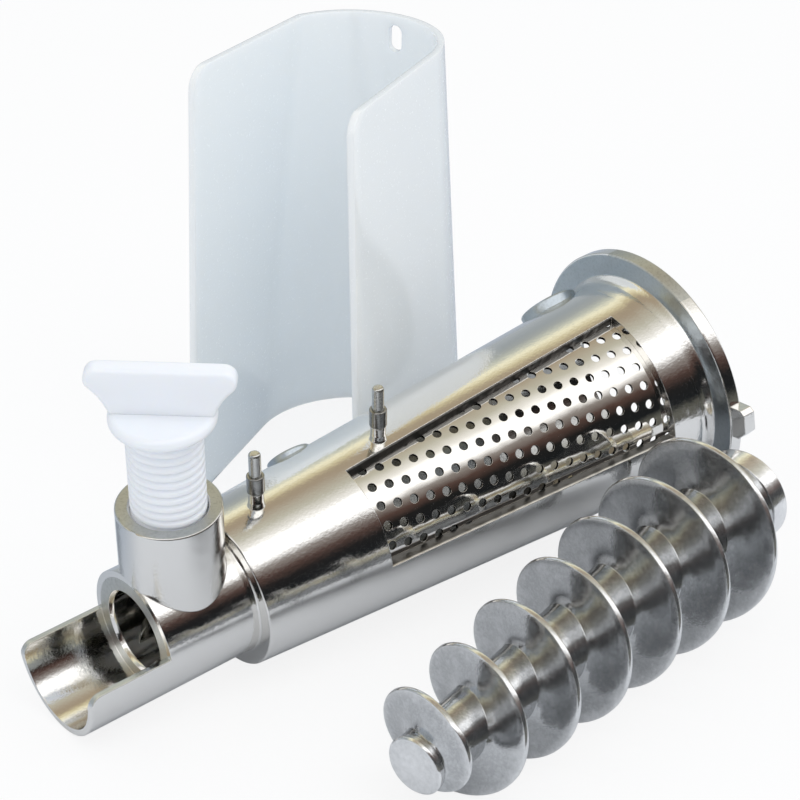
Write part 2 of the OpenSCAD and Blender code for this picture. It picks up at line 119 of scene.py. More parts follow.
class StrainerSettings(bpy.types.PropertyGroup):
    """The perforated sheet behind the window."""
    sheet_t: length("Sheet thickness", "Wall of the strainer", 0.8)
    lap: length("Lap", "Sheet behind the window's ends", 4.0)
    first: angle("First edge", "From the boss", -8)
    last: angle("Last edge", "From the boss", 98)
    hole_d: length("Hole diameter", "Strainer holes", 2.2)
    pitch: length("Pitch", "Between holes along a row", 4.22)
    row_pitch: length("Row pitch", "Between rows", 4.53)
    row_turn: angle("Row turn", "Rows from the cone's lines", 12.7)
    column_turn: angle("Column turn", "Columns from square", 6)
    pattern_at: length("Pattern place", "A hole's distance from the spout tip", 131.0)
    pattern_turn: angle("Pattern turn", "That hole's angle from the boss", 33.6)


class PinSettings(bpy.types.PropertyGroup):
    """The two pins that carry the cover, and their collars."""
    at: length("Pin place", "First pin from the spout tip", 54.5)
    gap: length("Pin spacing", "Between the pins", 34.2)
    pin_r: length("Pin radius", "Round pin", 1.4)
    pin_h: length("Pin height", "Above the cone", 14.7)
    collar_r: length("Collar radius", "Outside of the collar", 2.05)
    collar_len: length("Collar length", "Along the pin", 4.6)
    stub_h: length("Stub height", "Cast stub under the collar", 3.9)


class ScrewSettings(bpy.types.PropertyGroup):
    """The moulded adjusting screw."""
    thread_r: length("Thread radius", "Outside of the thread", 8.35)
    thread_depth: length("Thread depth", "Groove between the ridges", 0.85)
    pitch: length("Pitch", "Rise of the thread in one turn", 2.1)
    shank: length("Shank length", "Threaded part", 39.5)
    out: length("Height out", "Shank above the boss", 22.6)
    disc_r: length("Disc radius", "Disc under the wing", 11.6)
    disc_t: length("Disc thickness", "Disc under the wing", 3.2)
    wing_w: length("Wing width", "At its top", 32.0)
    wing_h: length("Wing height", "Above the disc", 11.0)
    wing_t: length("Wing thickness", "Plate of the wing", 4.6)
    wing_r: length("Wing end radius", "Round ends", 2.9)
    wing_turn: angle("Wing turn", "About the screw", 139)


class AugerSettings(bpy.types.PropertyGroup):
    """The tapered auger and its place."""
    place_x: length("Place X", "Pin end along X", -47.3)
    place_y: length("Place Y", "Pin end across the floor", -78.2)
    yaw: angle("Yaw", "Turn on the floor", 13.3)
    total: length("Length", "Pin end to hub face", 126.8)
    small_r: length("Flight radius", "At the small end", 14.4)
    taper: amount("Taper", "Growth of the radius per length", 0.068)
    pin_r: length("Pin radius", "Pin at the small end", 6.78)
    pin_len: length("Pin length", "Pin at the small end", 1.6)
    core_r: length("Core radius", "At the small end", 6.5)
    core_end_r: length("Core end radius", "Before the hub", 10.3)
    hub_r: length("Hub radius", "Drive hub", 11.7)
    hub_len: length("Hub length", "Drive hub", 5.8)
    lead: length("Lead", "Rise of the first turn", 16.72)
    lead_growth: length("Lead growth", "More rise for each turn", 0.208)
    socket_w: length("Socket width", "Square drive socket", 9.0)
    socket_depth: length("Socket depth", "Square drive socket", 14.0)
    turns: IntProperty(name="Turns", description="Turns of the flight", default=7)


class CoverSettings(bpy.types.PropertyGroup):
    """The splash cover and its place."""
    place_x: length("Place X", "Back's centre along X", 42.8)
    place_y: length("Place Y", "Back's centre across the floor", 60.8)
    yaw: angle("Yaw", "Turn on the floor", 26)
    height: length("Height", "As it stands", 110.0)
    wall: length("Wall", "Moulded wall", 1.8)
    top_r: length("Top radius", "Back at the small end", 23.6)
    foot_r: length("Foot radius", "Back at the wide end", 28.1)
    left_reach: length("Left reach", "Left wall in front of the back's centre, small end", 35.9)
    right_reach: length("Right reach", "Right wall in front of the back's centre, small end", 46.7)
    foot_reach: length("Foot reach", "Both walls at the wide end", 44.5)
    top_mouth: length("Top mouth", "Half width of the mouth at the small end", 24.9)
    foot_mouth: length("Foot mouth", "Half width of the mouth at the wide end", 24.3)
    bend: angle("Bend", "Where the left wall leaves the back's arc at the small end", 60)
    wrap: angle("Wrap", "How far the back's arc goes past square at the wide end", 5)
    corner: length("Corner", "Radius at the mouth's corners", 5.5)
    slot_w: length("Slot width", "Hanging slots", 3.8)
    slot_len: length("Slot length", "Hanging slots", 7.0)
    slot_at: length("Slot place", "First slot below the small end", 6.0)
    slot_side: length("Slot side", "From the middle of the back", -2.0)


class FinishSettings(bpy.types.PropertyGroup):
    """Colours and the look of the studio."""
    plating: tone("Plating", "Plated barrel", (0.80, 0.79, 0.77))
    # painted shade: the pads and the flange's front get a darker bluish colour that stands in for the shade
    # and dark reflection on them
    dull: tone("Dull", "Pads and the flange's front", (0.46, 0.51, 0.55))
    machined: tone("Machined", "Faced ends of the barrel", (0.56, 0.57, 0.55))
    sheet: tone("Sheet", "Strainer", (0.80, 0.78, 0.74))
    tinned: tone("Tinned", "Auger", (0.68, 0.69, 0.70))
    steel: tone("Steel", "Pins", (0.60, 0.60, 0.58))
    dark_steel: tone("Dark steel", "Collars and the bare bore", (0.36, 0.36, 0.35))
    screw_white: tone("Screw white", "Adjusting screw", (0.91, 0.94, 0.99))
    cover_white: tone("Cover white", "Splash cover", (0.86, 0.935, 1.0))


class StageSettings(bpy.types.PropertyGroup):
    """Camera, floor and light."""
    camera_x: length("Camera X", "Camera's place", -309.82)
    camera_y: length("Camera Y", "Camera's place", -406.46)
    camera_z: length("Camera Z", "Camera's place", 317.30)
    camera_yaw: angle("Camera yaw", "From +Y towards +X", 38.198)
    camera_pitch: angle("Camera pitch", "Below the horizon", 27.475)
    camera_roll: angle("Camera roll", "About its own axis", 0.4)
    lens: amount("Lens", "Focal length on a 36 mm sensor", 113.04)
    key_power: amount("Key power", "Soft lamp above, in watts", 1.3)


GROUPS = (
    ("juicer_barrel", BarrelSettings), ("juicer_strainer", StrainerSettings), ("juicer_pins", PinSettings),
    ("juicer_screw", ScrewSettings), ("juicer_auger", AugerSettings), ("juicer_cover", CoverSettings),
    ("juicer_finish", FinishSettings), ("juicer_stage", StageSettings),
)


class Sizes:
    """A settings group read as plain numbers: lengths in millimetres, angles in radians."""

    def __init__(self, group):
        for key, prop in group.bl_rna.properties.items():
            if key in ("rna_type", "name"):
                continue
            value = getattr(group, key)
            is_length = getattr(prop, "unit", "") == "LENGTH"
            setattr(self, key, value / MM if is_length else value)


def sizes(name):
    return Sizes(getattr(bpy.context.scene, "juicer_" + name))


# Places


def barrel_matrix():
    b = sizes("barrel")
    return (Matrix.Translation((b.place_x, b.place_y, b.spout_r * math.cos(b.tilt)))
            @ Matrix.Rotation(math.pi / 2 - b.tilt, 4, "Y") @ Matrix.Rotation(math.pi + b.roll, 4, "Z"))


def radial(s, turn=0.0, rise=0.0):
    """Frame whose Z points out of the barrel at distance s, turned from the boss."""
    return (Matrix.Rotation(turn, 4, "Z") @ Matrix.Translation((0, 0, s))
            @ Matrix.Rotation(math.pi / 2 - rise, 4, "Y"))


def auger_matrix():
    a = sizes("auger")
    tilt = math.atan(a.taper)
    return (Matrix.Translation((a.place_x, a.place_y, a.small_r * math.cos(tilt)))
            @ Matrix.Rotation(a.yaw, 4, "Z") @ Matrix.Rotation(math.pi / 2 - tilt, 4, "Y")
            @ Matrix.Rotation(math.pi, 4, "Z"))


def cover_matrix():
    c = sizes("cover")
    return Matrix.Translation((c.place_x, c.place_y, 0)) @ Matrix.Rotation(c.yaw, 4, "Z")


class BarrelShape:
    """The barrel's cone and bore as radii at a distance from the spout's tip, and what fits there."""
    seat_gap = 0.45  # between the auger's flight and the bore
    fit = 0.03  # round a piece that is pushed into another
    pin_depth = 5.5  # of a pin in its stub

    def __init__(self):
        b, a = sizes("barrel"), sizes("auger")
        self.barrel, self.auger, self.pins, self.strainer = b, a, sizes("pins"), sizes("strainer")
        self.front = b.total - b.flange_t
        self.flare_at = self.front - b.flare_len
        self.slope = (b.cone_end_r - b.cone_r) / (self.flare_at - b.cone_at)
        self.seat = b.total - a.total - self.seat_gap
        self.sheet_from = b.window_at - self.strainer.lap
        self.sheet_to = b.window_at + b.window_len + self.strainer.lap
        self.pin_places = (self.pins.at, self.pins.at + self.pins.gap)

    def cone(self, s):
        return self.barrel.cone_r + (s - self.barrel.cone_at) * self.slope

    def bore(self, s):
        return self.auger.small_r + self.seat_gap + (s - self.seat) * self.auger.taper

    def pocket(self, s):
        """Outside of the strainer's pocket."""
        return self.bore(s) + self.strainer.sheet_t + self.fit


# Mesh building


def rounded(corners):
    """Profile of (r, z, fillet) corners, with an arc of that fillet's radius at each corner."""
    out = []
    for i, (r, z, fillet) in enumerate(corners):
        p = np.array((r, z), float)
        if fillet <= 0 or i in (0, len(corners) - 1):
            out.append(p)
            continue
        a = np.array(corners[i - 1][:2], float) - p
        b = np.array(corners[i + 1][:2], float) - p
        la, lb = np.linalg.norm(a), np.linalg.norm(b)
        a, b = a / la, b / lb
        half = math.acos(max(-1, min(1, float(a @ b)))) / 2
        cut = min(fillet / math.tan(half), la * 0.49, lb * 0.49)
        radius = cut * math.tan(half)
        centre = p + (a + b) / np.linalg.norm(a + b) * radius / math.sin(half)
        start, end = p + a * cut - centre, p + b * cut - centre
        sweep = math.atan2(start[0] * end[1] - start[1] * end[0], float(start @ end))
        steps = max(2, int(abs(sweep) / math.radians(18)))
        for k in range(steps + 1):
            t = sweep * k / steps
            c, s = math.cos(t), math.sin(t)
            out.append(centre + np.array((c * start[0] - s * start[1], s * start[0] + c * start[1])))
    return np.array(out)


def mesh_object(name, verts, faces):
    mesh = bpy.data.meshes.new(name)
    mesh.from_pydata([tuple(v) for v in verts], [], faces)
    mesh.validate()
    obj = bpy.data.objects.new(name, mesh)
    bpy.context.scene.collection.objects.link(obj)
    return obj


def turned(name, profile, matrix=Matrix(), segments=ROUND):
    """Solid of revolution about local Z.

    The profile runs from the axis round to the axis, or is a loop that ends where it starts.
    """
    ring_of, verts, faces = [], [], []
    closed = profile[0][0] > 1e-6
    for r, z in profile[:-1] if closed else profile:
        if r < 1e-6:
            ring_of.append([len(verts)] * segments)
            verts.append((0, 0, z))
            continue
        ring_of.append(list(range(len(verts), len(verts) + segments)))
        verts += [(r * math.cos(2 * math.pi * k / segments), r * math.sin(2 * math.pi * k / segments), z)
                  for k in range(segments)]
    pairs = list(zip(ring_of, ring_of[1:])) + ([(ring_of[-1], ring_of[0])] if closed else [])
    for low, high in pairs:
        for k in range(segments):
            n = (k + 1) % segments
            face = [low[k], low[n], high[n], high[k]]
            face = [v for i, v in enumerate(face) if v not in face[:i]]
            if len(face) > 2:
                faces.append(face)
    obj = mesh_object(name, verts, faces)
    point_out(obj)
    obj.data.transform(matrix)
    return obj


def point_out(obj):
    """Turn every face of a closed mesh outwards."""
    edit = bmesh.new()
    edit.from_mesh(obj.data)
    bmesh.ops.recalc_face_normals(edit, faces=edit.faces)
    edit.to_mesh(obj.data)
    edit.free()


def swept(name, sections, matrix=Matrix()):
    """Solid through a row of closed sections of equally many points, with flat ends."""
    m, last = len(sections[0]), len(sections) - 1
    faces = [(k * m + i, k * m + (i + 1) % m, (k + 1) * m + (i + 1) % m, (k + 1) * m + i)
             for k in range(last) for i in range(m)]
    faces += [list(range(m))[::-1], list(range(last * m, last * m + m))]
    obj = mesh_object(name, [point for section in sections for point in section], faces)
    obj.data.transform(matrix)
    point_out(obj)
    return obj


def prism(name, outline, low, high, matrix=Matrix()):
    """Straight extrusion of an outline along local Z."""
    return swept(name, [[(x, y, z) for x, y in outline] for z in (low, high)], matrix)


def sector(name, section, first, last, step=math.radians(1.5)):
    """Part of a turned ring between two angles. The section is a loop of (r, z)."""
    count = max(2, int(round((last - first) / step))) + 1
    return swept(name, [[(r * math.cos(t), r * math.sin(t), z) for r, z in section]
                        for t in np.linspace(first, last, count)])


def rectangle(x0, y0, x1, y1):
    return [(x0, y0), (x1, y0), (x1, y1), (x0, y1)]


def arc(x, y, radius, first, last, count):
    """Points round (x, y), from one angle in degrees to another."""
    return [(x + radius * math.cos(t), y + radius * math.sin(t))
            for t in np.radians(np.linspace(first, last, count))]


def combine(target, tools, operation):
    """Cut tools from the target, or join them to it, one after another."""
    for tool in tools:
        step = target.modifiers.new(tool.name, "BOOLEAN")
        step.operation, step.solver, step.object = operation, "MANIFOLD", tool
    settle(target)
    for tool in tools:
        mesh = tool.data
        bpy.data.objects.remove(tool)
        bpy.data.meshes.remove(mesh)


def settle(obj):
    """Turn an object's live modifiers into plain mesh."""
    graph = bpy.context.evaluated_depsgraph_get()
    graph.update()
    mesh = bpy.data.meshes.new_from_object(
        obj.evaluated_get(graph), preserve_all_data_layers=True, depsgraph=graph)
    old = obj.data
    obj.modifiers.clear()
    obj.data = mesh
    bpy.data.meshes.remove(old)


def round_edges(obj, width, segments, degrees):
    """Bevel the edges that are sharper than the angle."""
    bevel = obj.modifiers.new("edges", "BEVEL")
    bevel.width, bevel.segments = width, segments
    bevel.limit_method, bevel.angle_limit = "ANGLE", math.radians(degrees)
    settle(obj)


def segment_normals(profile):
    """Outward normals at both ends of each profile segment; the longer neighbour leads at a soft joint."""
    d = np.diff(profile, axis=0)
    size = np.linalg.norm(d, axis=1)
    flat = np.stack([d[:, 1], -d[:, 0]], 1) / np.maximum(size, 1e-9)[:, None]
    start, end = flat.copy(), flat.copy()
    for i in range(len(flat) - 1):
        if flat[i] @ flat[i + 1] > math.cos(math.radians(32)):
            both = flat[i] * size[i] ** 2 + flat[i + 1] * size[i + 1] ** 2
            end[i] = start[i + 1] = both / np.linalg.norm(both)
    return start, end


def read(items, key, width=1, kind=float):
    """One property of all of a mesh's items, as an array."""
    out = np.empty(len(items) * width, kind)
    items.foreach_get(key, out)
    return out.reshape(-1, width) if width > 1 else out


def true_normals(mesh, surfaces, near=0.06):
    """Corner normals, with the faces on turned surfaces given those surfaces' own. All is in local mm.

    surfaces are (matrix, profile) pairs. Other faces stay flat.
    """
    co = read(mesh.vertices, "co", 3)
    centre, facing = read(mesh.polygons, "center", 3), read(mesh.polygons, "normal", 3)
    corner = read(mesh.loops, "vertex_index", kind=int)
    each = np.arange(len(centre))
    face_of = np.repeat(each, read(mesh.polygons, "loop_total", kind=int))
    result = facing[face_of].copy()
    best = np.full(len(centre), near)
    for matrix, profile in surfaces:
        profile = np.asarray(profile, float)
        m = np.array(matrix.inverted())
        turn = m[:3, :3]
        local_c, local_v = centre @ turn.T + m[:3, 3], co @ turn.T + m[:3, 3]
        local_f = facing @ turn.T
        start, end = segment_normals(profile)
        # each face's nearest profile segment, among those that face its way
        a, b = profile[:-1], profile[1:]
        ab = b - a
        size2 = np.maximum((ab ** 2).sum(1), 1e-12)
        flat = np.stack([ab[:, 1], -ab[:, 0]], 1) / np.sqrt(size2)[:, None]
        rz = np.stack([np.hypot(local_c[:, 0], local_c[:, 1]), local_c[:, 2]], 1)
        t = np.clip(((rz[:, None] - a) * ab).sum(2) / size2, 0, 1)
        gap = np.linalg.norm(rz[:, None] - (a + t[..., None] * ab), axis=2)
        out = local_c[:, :2] / np.maximum(rz[:, :1], 1e-9)
        dot = (local_f[:, :2] * out).sum(1)[:, None] * flat[:, 0] + local_f[:, 2:3] * flat[:, 1]
        gap = np.where(np.abs(dot) > 0.9, gap, 1e9)
        pick = gap.argmin(1)
        found = gap[each, pick] < best
        best[found] = gap[each, pick][found]
        # the segment's normal at each corner of those faces
        loops = np.where(found[face_of])[0]
        seg, sign = pick[face_of[loops]], np.sign(dot[face_of[loops], pick[face_of[loops]]])
        v = local_v[corner[loops]]
        r = np.hypot(v[:, 0], v[:, 1])
        p = np.stack([r, v[:, 2]], 1)
        t = np.clip(((p - a[seg]) * ab[seg]).sum(1) / size2[seg], 0, 1)[:, None]
        n2 = start[seg] * (1 - t) + end[seg] * t
        unit = v[:, :2] / np.maximum(r, 1e-9)[:, None]
        n3 = np.concatenate([unit * n2[:, :1], n2[:, 1:2]], 1) * sign[:, None]
        n3[r < 1e-6] = local_f[face_of[loops]][r < 1e-6]
        result[loops] = n3 @ turn
    return result / np.maximum(np.linalg.norm(result, axis=1), 1e-9)[:, None]


def place(obj, matrix, normals=None):
    """Move a mesh from local millimetres into the frame, with its normals."""
    obj.data.transform(Matrix.Scale(MM, 4) @ matrix)
    obj.data.shade_smooth()
    if normals is not None:
        turned_normals = normals @ np.array(matrix.to_3x3()).T
        obj.data.normals_split_custom_set([tuple(n) for n in turned_normals])
    obj.data.update()
    return obj


def soften(obj, degrees):
    """Smooth shading with creases at edges sharper than the angle."""
    obj.data.shade_smooth()
    obj.data.set_sharp_from_angle(angle=math.radians(degrees))


def turned_piece(name, profile, matrix, segments):
    """A turned solid in the frame, with its true normals."""
    piece = turned(name, profile, segments=segments)
    return place(piece, matrix, true_normals(piece.data, [(Matrix(), profile)]))


# Node helpers


def feed(tree, value, socket):
    """Link a socket, a field or a node's first output to an input, or set the input to a plain value."""
    if isinstance(value, Field):
        value = value.socket
    elif isinstance(value, bpy.types.Node):
        value = value.outputs[0]
    if isinstance(value, bpy.types.NodeSocket):
        tree.links.new(value, socket)
    else:
        socket.default_value = value


def node(tree, kind, inputs=None, **settings):
    made = tree.nodes.new(kind)
    for key, value in settings.items():
        setattr(made, key, value)
    for key, value in (inputs or {}).items():
        feed(tree, value, made.inputs[key])
    return made


class Field:
    """A number in a node tree that can be reckoned with like a Python number."""

    def __init__(self, tree, socket):
        self.tree, self.socket = tree, socket

    def op(self, kind, *others):
        values = dict(enumerate((self, *others)))
        return Field(self.tree, node(self.tree, "ShaderNodeMath", values, operation=kind).outputs[0])

    def __add__(self, other):
        return self.op("ADD", other)

    def __sub__(self, other):
        return self.op("SUBTRACT", other)

    def __mul__(self, other):
        return self.op("MULTIPLY", other)

    def __truediv__(self, other):
        return self.op("DIVIDE", other)

    def mapped(self, low, high, to_low=0.0, to_high=1.0, **settings):
        """This number with one range brought to another."""
        ranges = {"From Min": low, "From Max": high, "To Min": to_low, "To Max": to_high}
        made = node(self.tree, "ShaderNodeMapRange", {"Value": self, **ranges}, **settings)
        return Field(self.tree, made.outputs[0])

    def clamped(self):
        return Field(self.tree, node(self.tree, "ShaderNodeClamp", {"Value": self}).outputs[0])


def fill(made, values):
    """Set a node's inputs by their names, in which _ stands for a space."""
    for key, value in values.items():
        made.inputs[key.replace("_", " ")].default_value = value


def split_vector(tree, value):
    return [Field(tree, out) for out in node(tree, "ShaderNodeSeparateXYZ", {0: value}).outputs]


def noise(tree, where, detail, rough=0.5, scale=1.0):
    made = node(tree, "ShaderNodeTexNoise", {
        "Vector": where, "Scale": scale, "Detail": detail, "Roughness": rough})
    return Field(tree, made.outputs["Fac"])


def blend(tree, mask, low, high):
    """Colour between two colours or sockets by a mask."""
    low, high = (c if isinstance(c, bpy.types.NodeSocket) else (*c, 1.0) for c in (low, high))
    return node(tree, "ShaderNodeMix", {0: mask, 6: low, 7: high}, data_type="RGBA").outputs[2]


def new_tree(name, labels):
    """Geometry tree with a Geometry input, named number inputs and a Geometry output, and its fields."""
    tree = bpy.data.node_groups.new(name, "GeometryNodeTree")
    add = tree.interface.new_socket
    add("Geometry", in_out="INPUT", socket_type="NodeSocketGeometry")
    for label in labels:
        add(label, in_out="INPUT", socket_type="NodeSocketFloat")
    add("Material", in_out="INPUT", socket_type="NodeSocketMaterial")
    add("Geometry", in_out="OUTPUT", socket_type="NodeSocketGeometry")
    source = tree.nodes.new("NodeGroupInput")
    return tree, source, {label: Field(tree, source.outputs[label]) for label in labels}


def end_tree(tree, source, geometry):
    real = node(tree, "GeometryNodeRealizeInstances", {"Geometry": geometry})
    painted = node(tree, "GeometryNodeSetMaterial", {
        "Geometry": real, "Material": source.outputs["Material"]})
    feed(tree, painted, tree.nodes.new("NodeGroupOutput").inputs[0])


def run_tree(obj, tree, values):
    """Apply a geometry tree to an object with its inputs set, and keep the result as plain mesh."""
    step = obj.modifiers.new(tree.name, "NODES")
    step.node_group = tree
    for item in tree.interface.items_tree:
        if item.in_out == "INPUT" and item.name in values:
            step[item.identifier] = values[item.name]
    settle(obj)


# Shader effects shared by the materials


def effect(name, inputs, outputs):
    """Shader group with number inputs and mask or height outputs."""
    tree = bpy.data.node_groups.new(name, "ShaderNodeTree")
    for label, value in inputs.items():
        socket = tree.interface.new_socket(label, in_out="INPUT", socket_type="NodeSocketFloat")
        socket.default_value = value
    for label in outputs:
        tree.interface.new_socket(label, in_out="OUTPUT", socket_type="NodeSocketFloat")
    source, out = tree.nodes.new("NodeGroupInput"), tree.nodes.new("NodeGroupOutput")
    return tree, {label: Field(tree, source.outputs[label]) for label in inputs}, out


def grain_effect():
    """Relief of a casting or a moulding, as a height and two masks: slow waves, a skin and scratches."""
    tree, given, out = effect("surface_relief", {
        "Wave size": 8.0, "Wave height": 0.3, "Skin size": 0.9, "Skin height": 0.1, "Scratches": 0.0},
        ("Height", "Speckle", "Cloud"))
    spot = node(tree, "ShaderNodeTexCoord").outputs["Object"]
    millimetres = node(tree, "ShaderNodeVectorMath", {0: spot, 1: (1 / MM,) * 3}, operation="MULTIPLY")

    def grains(size, detail, rough=0.5):
        scaled = node(tree, "ShaderNodeVectorMath", {0: millimetres, 1: size}, operation="DIVIDE")
        return noise(tree, scaled, detail, rough)

    waves = grains(given["Wave size"], 1.0) * given["Wave height"]
    skin = grains(given["Skin size"], 3.0, 0.6) * given["Skin height"]
    stretched = node(tree, "ShaderNodeMapping", {
        "Vector": millimetres, "Rotation": (0.2, 0.1, 0.5), "Scale": (0.06, 4.0, 3.0)})
    height = waves + skin + noise(tree, stretched, 2.0) * given["Scratches"]
    feed(tree, height, out.inputs["Height"])
    masks = (("Speckle", 0.7, 2.0, 0.7, 4.0), ("Cloud", 5.0, 4.0, 0.75, 3.5))
    for label, size, detail, rough, steep in masks:
        mask = grains((size,) * 3, detail, rough).op("MULTIPLY_ADD", steep, 0.1 - steep / 2)
        feed(tree, mask.clamped(), out.inputs[label])


def wear_effect():
    """Mask of a piece's outer edges, broken up by a fine noise."""
    tree, given, out = effect("edge_wear", {"Spread": 6.0, "Break up": 0.4}, ("Mask",))
    edges = Field(tree, node(tree, "ShaderNodeNewGeometry").outputs["Pointiness"])
    rough = noise(tree, node(tree, "ShaderNodeTexCoord").outputs["Object"], 2.0, scale=900.0)
    mask = (edges - 0.5) * given["Spread"] - (rough - 0.5) * given["Break up"]
    feed(tree, mask.clamped(), out.inputs["Mask"])


# For each finish: its tone, bump strength, edge radius in mm, the waves' size and height, the skin's
# size and height, scratches, and roughness, as a number or as a mask and the two numbers it moves between
FINISHES = {
    "nickel_plating": ("plating", 0.32, 0.35, (6.0, 0.12), (0.7, 0.08), 0.004, ("Speckle", 0.06, 0.18)),
    "satin_plating": ("plating", 0.5, 0.35, (5.0, 0.2), (0.6, 0.06), 0.008, ("Speckle", 0.15, 0.26)),
    "machined_face": ("machined", 0.5, 0.2, (8.0, 0.0), (0.5, 0.06), 0.0, 0.42),
    "cast_edge": ("plating", 0.7, 0.3, (1.8, 0.3), (0.5, 0.06), 0.0, 0.34),
    "dull_casting": ("dull", 0.6, 0.3, (3.0, 0.2), (0.6, 0.06), 0.0, 0.28),
    "polished_sheet": ("sheet", 0.35, 0.12, (5.0, 0.22), (1.0, 0.02), 0.004, ("Speckle", 0.04, 0.12)),
    "tinned_casting": ("tinned", 0.4, 0.4, (7.0, 0.35), (0.6, 0.05), 0.008, ("Cloud", 0.1, 0.26)),
    "turned_steel": ("steel", 0.5, 0.15, (8.0, 0.0), (0.4, 0.08), 0.0, ("Speckle", 0.18, 0.34)),
    "dark_collar": ("dark_steel", 0.5, 0.15, (8.0, 0.0), (0.4, 0.06), 0.0, 0.15),
    "screw_plastic": ("screw_white", 0.3, 0.4, (6.0, 0.05), (0.5, 0.02), 0.0, ("Speckle", 0.28, 0.4)),
    "cover_plastic": ("cover_white", 0.25, 0.5, (14.0, 0.25), (0.6, 0.006), 0.0, ("Speckle", 0.2, 0.3)),
}
SPECKS = {"machined_face": 0.8, "dull_casting": 0.85, "dark_collar": 0.75}  # how dark the specks are


class Finish:
    """A Principled metal with relief and rounded edges, from the shared effects."""

    def __init__(self, name, tone_name, bump, edge, waves, skin, scratches, roughness):
        self.material = bpy.data.materials.new("look_" + name)
        self.material.use_nodes = True
        self.tree = self.material.node_tree
        self.shader = self.tree.nodes["Principled BSDF"]
        self.colour = tuple(getattr(bpy.context.scene.juicer_finish, tone_name))
        self.material.diffuse_color = (*self.colour, 1.0)
        self.set(Base_Color=(*self.colour, 1.0), Metallic=1.0)
        self.relief = self.group("surface_relief", Wave_size=waves[0], Wave_height=waves[1],
                                 Skin_size=skin[0], Skin_height=skin[1], Scratches=scratches)
        soft = node(self.tree, "ShaderNodeBevel", {"Radius": edge * MM}, samples=6)
        raised = node(self.tree, "ShaderNodeBump", {
            "Height": self.relief.outputs["Height"], "Strength": bump, "Distance": MM, "Normal": soft})
        feed(self.tree, raised, self.shader.inputs["Normal"])
        if isinstance(roughness, tuple):
            mask, low, high = roughness
            moved = Field(self.tree, self.relief.outputs[mask]).mapped(0.0, 1.0, low, high)
            feed(self.tree, moved, self.shader.inputs["Roughness"])
        else:
            self.set(Roughness=roughness)

    def set(self, **values):
        fill(self.shader, values)

    def group(self, name, **values):
        made = node(self.tree, "ShaderNodeGroup", node_tree=bpy.data.node_groups[name])
        fill(made, values)
        return made

    def shade(self, factor):
        return tuple(min(1.0, c * factor) for c in self.colour)

    def tint(self, mask, low, high):
        feed(self.tree, blend(self.tree, mask, low, high), self.shader.inputs["Base Color"])

    def let_light_in(self, weight, reach, coat, coat_roughness):
        """Make it a plastic, with light that spreads under its surface by a reach in mm."""
        self.set(Metallic=0.0, Subsurface_Weight=weight, Subsurface_Radius=reach, Subsurface_Scale=MM,
                 Coat_Weight=coat, Coat_Roughness=coat_roughness)

    def paint_shade_inwards(self):
        """A bright rim that turns dark below the surface, a painted shade in the window's edge, by the
        edge_depth attribute in mm.
        """
        attribute = node(self.tree, "ShaderNodeAttribute", attribute_name="edge_depth")
        depth = Field(self.tree, attribute.outputs["Fac"])
        self.tint(depth.mapped(0.25, 0.7), self.colour, self.shade(0.16))

    def dull_with_age(self):
        """Cloudy, speckled tin, bright where its edges are worn."""
        self.set(Metallic=0.93)
        cloud, speckle = self.relief.outputs["Cloud"], self.relief.outputs["Speckle"]
        worn = self.group("edge_wear", Spread=9.0, Break_up=0.5)
        clouded = blend(self.tree, cloud, self.shade(0.68), self.colour)
        grained = blend(self.tree, speckle, clouded, self.shade(0.85))
        self.tint(worn.outputs["Mask"], grained, self.shade(1.5))


def finish(name):
    """A material by name, made on first use."""
    if "look_" + name in bpy.data.materials:
        return bpy.data.materials["look_" + name]
    if "surface_relief" not in bpy.data.node_groups:
        grain_effect()
        wear_effect()
    made = Finish(name, *FINISHES[name])
    if name in SPECKS:
        made.tint(made.relief.outputs["Speckle"], made.colour, made.shade(SPECKS[name]))
    elif name == "cast_edge":
        # painted shade: the window's edge darkens inwards below the cone
        made.paint_shade_inwards()
    elif name == "tinned_casting":
        made.dull_with_age()
    elif name == "screw_plastic":
        made.let_light_in(0.3, (1.2, 1.4, 1.8), 0.15, 0.03)
    elif name == "cover_plastic":
        made.let_light_in(1.0, (5.0, 5.2, 5.5), 0.7, 0.06)
    return made.material


def hand_over(obj, body, *nodes, material=None, slot=None):
    """Give a finished piece to the frame."""
    if material:
        obj.data.materials.clear()
        obj.data.materials.append(finish(material))
    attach(obj, body)
    if nodes:
        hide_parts(*nodes)


# The pieces


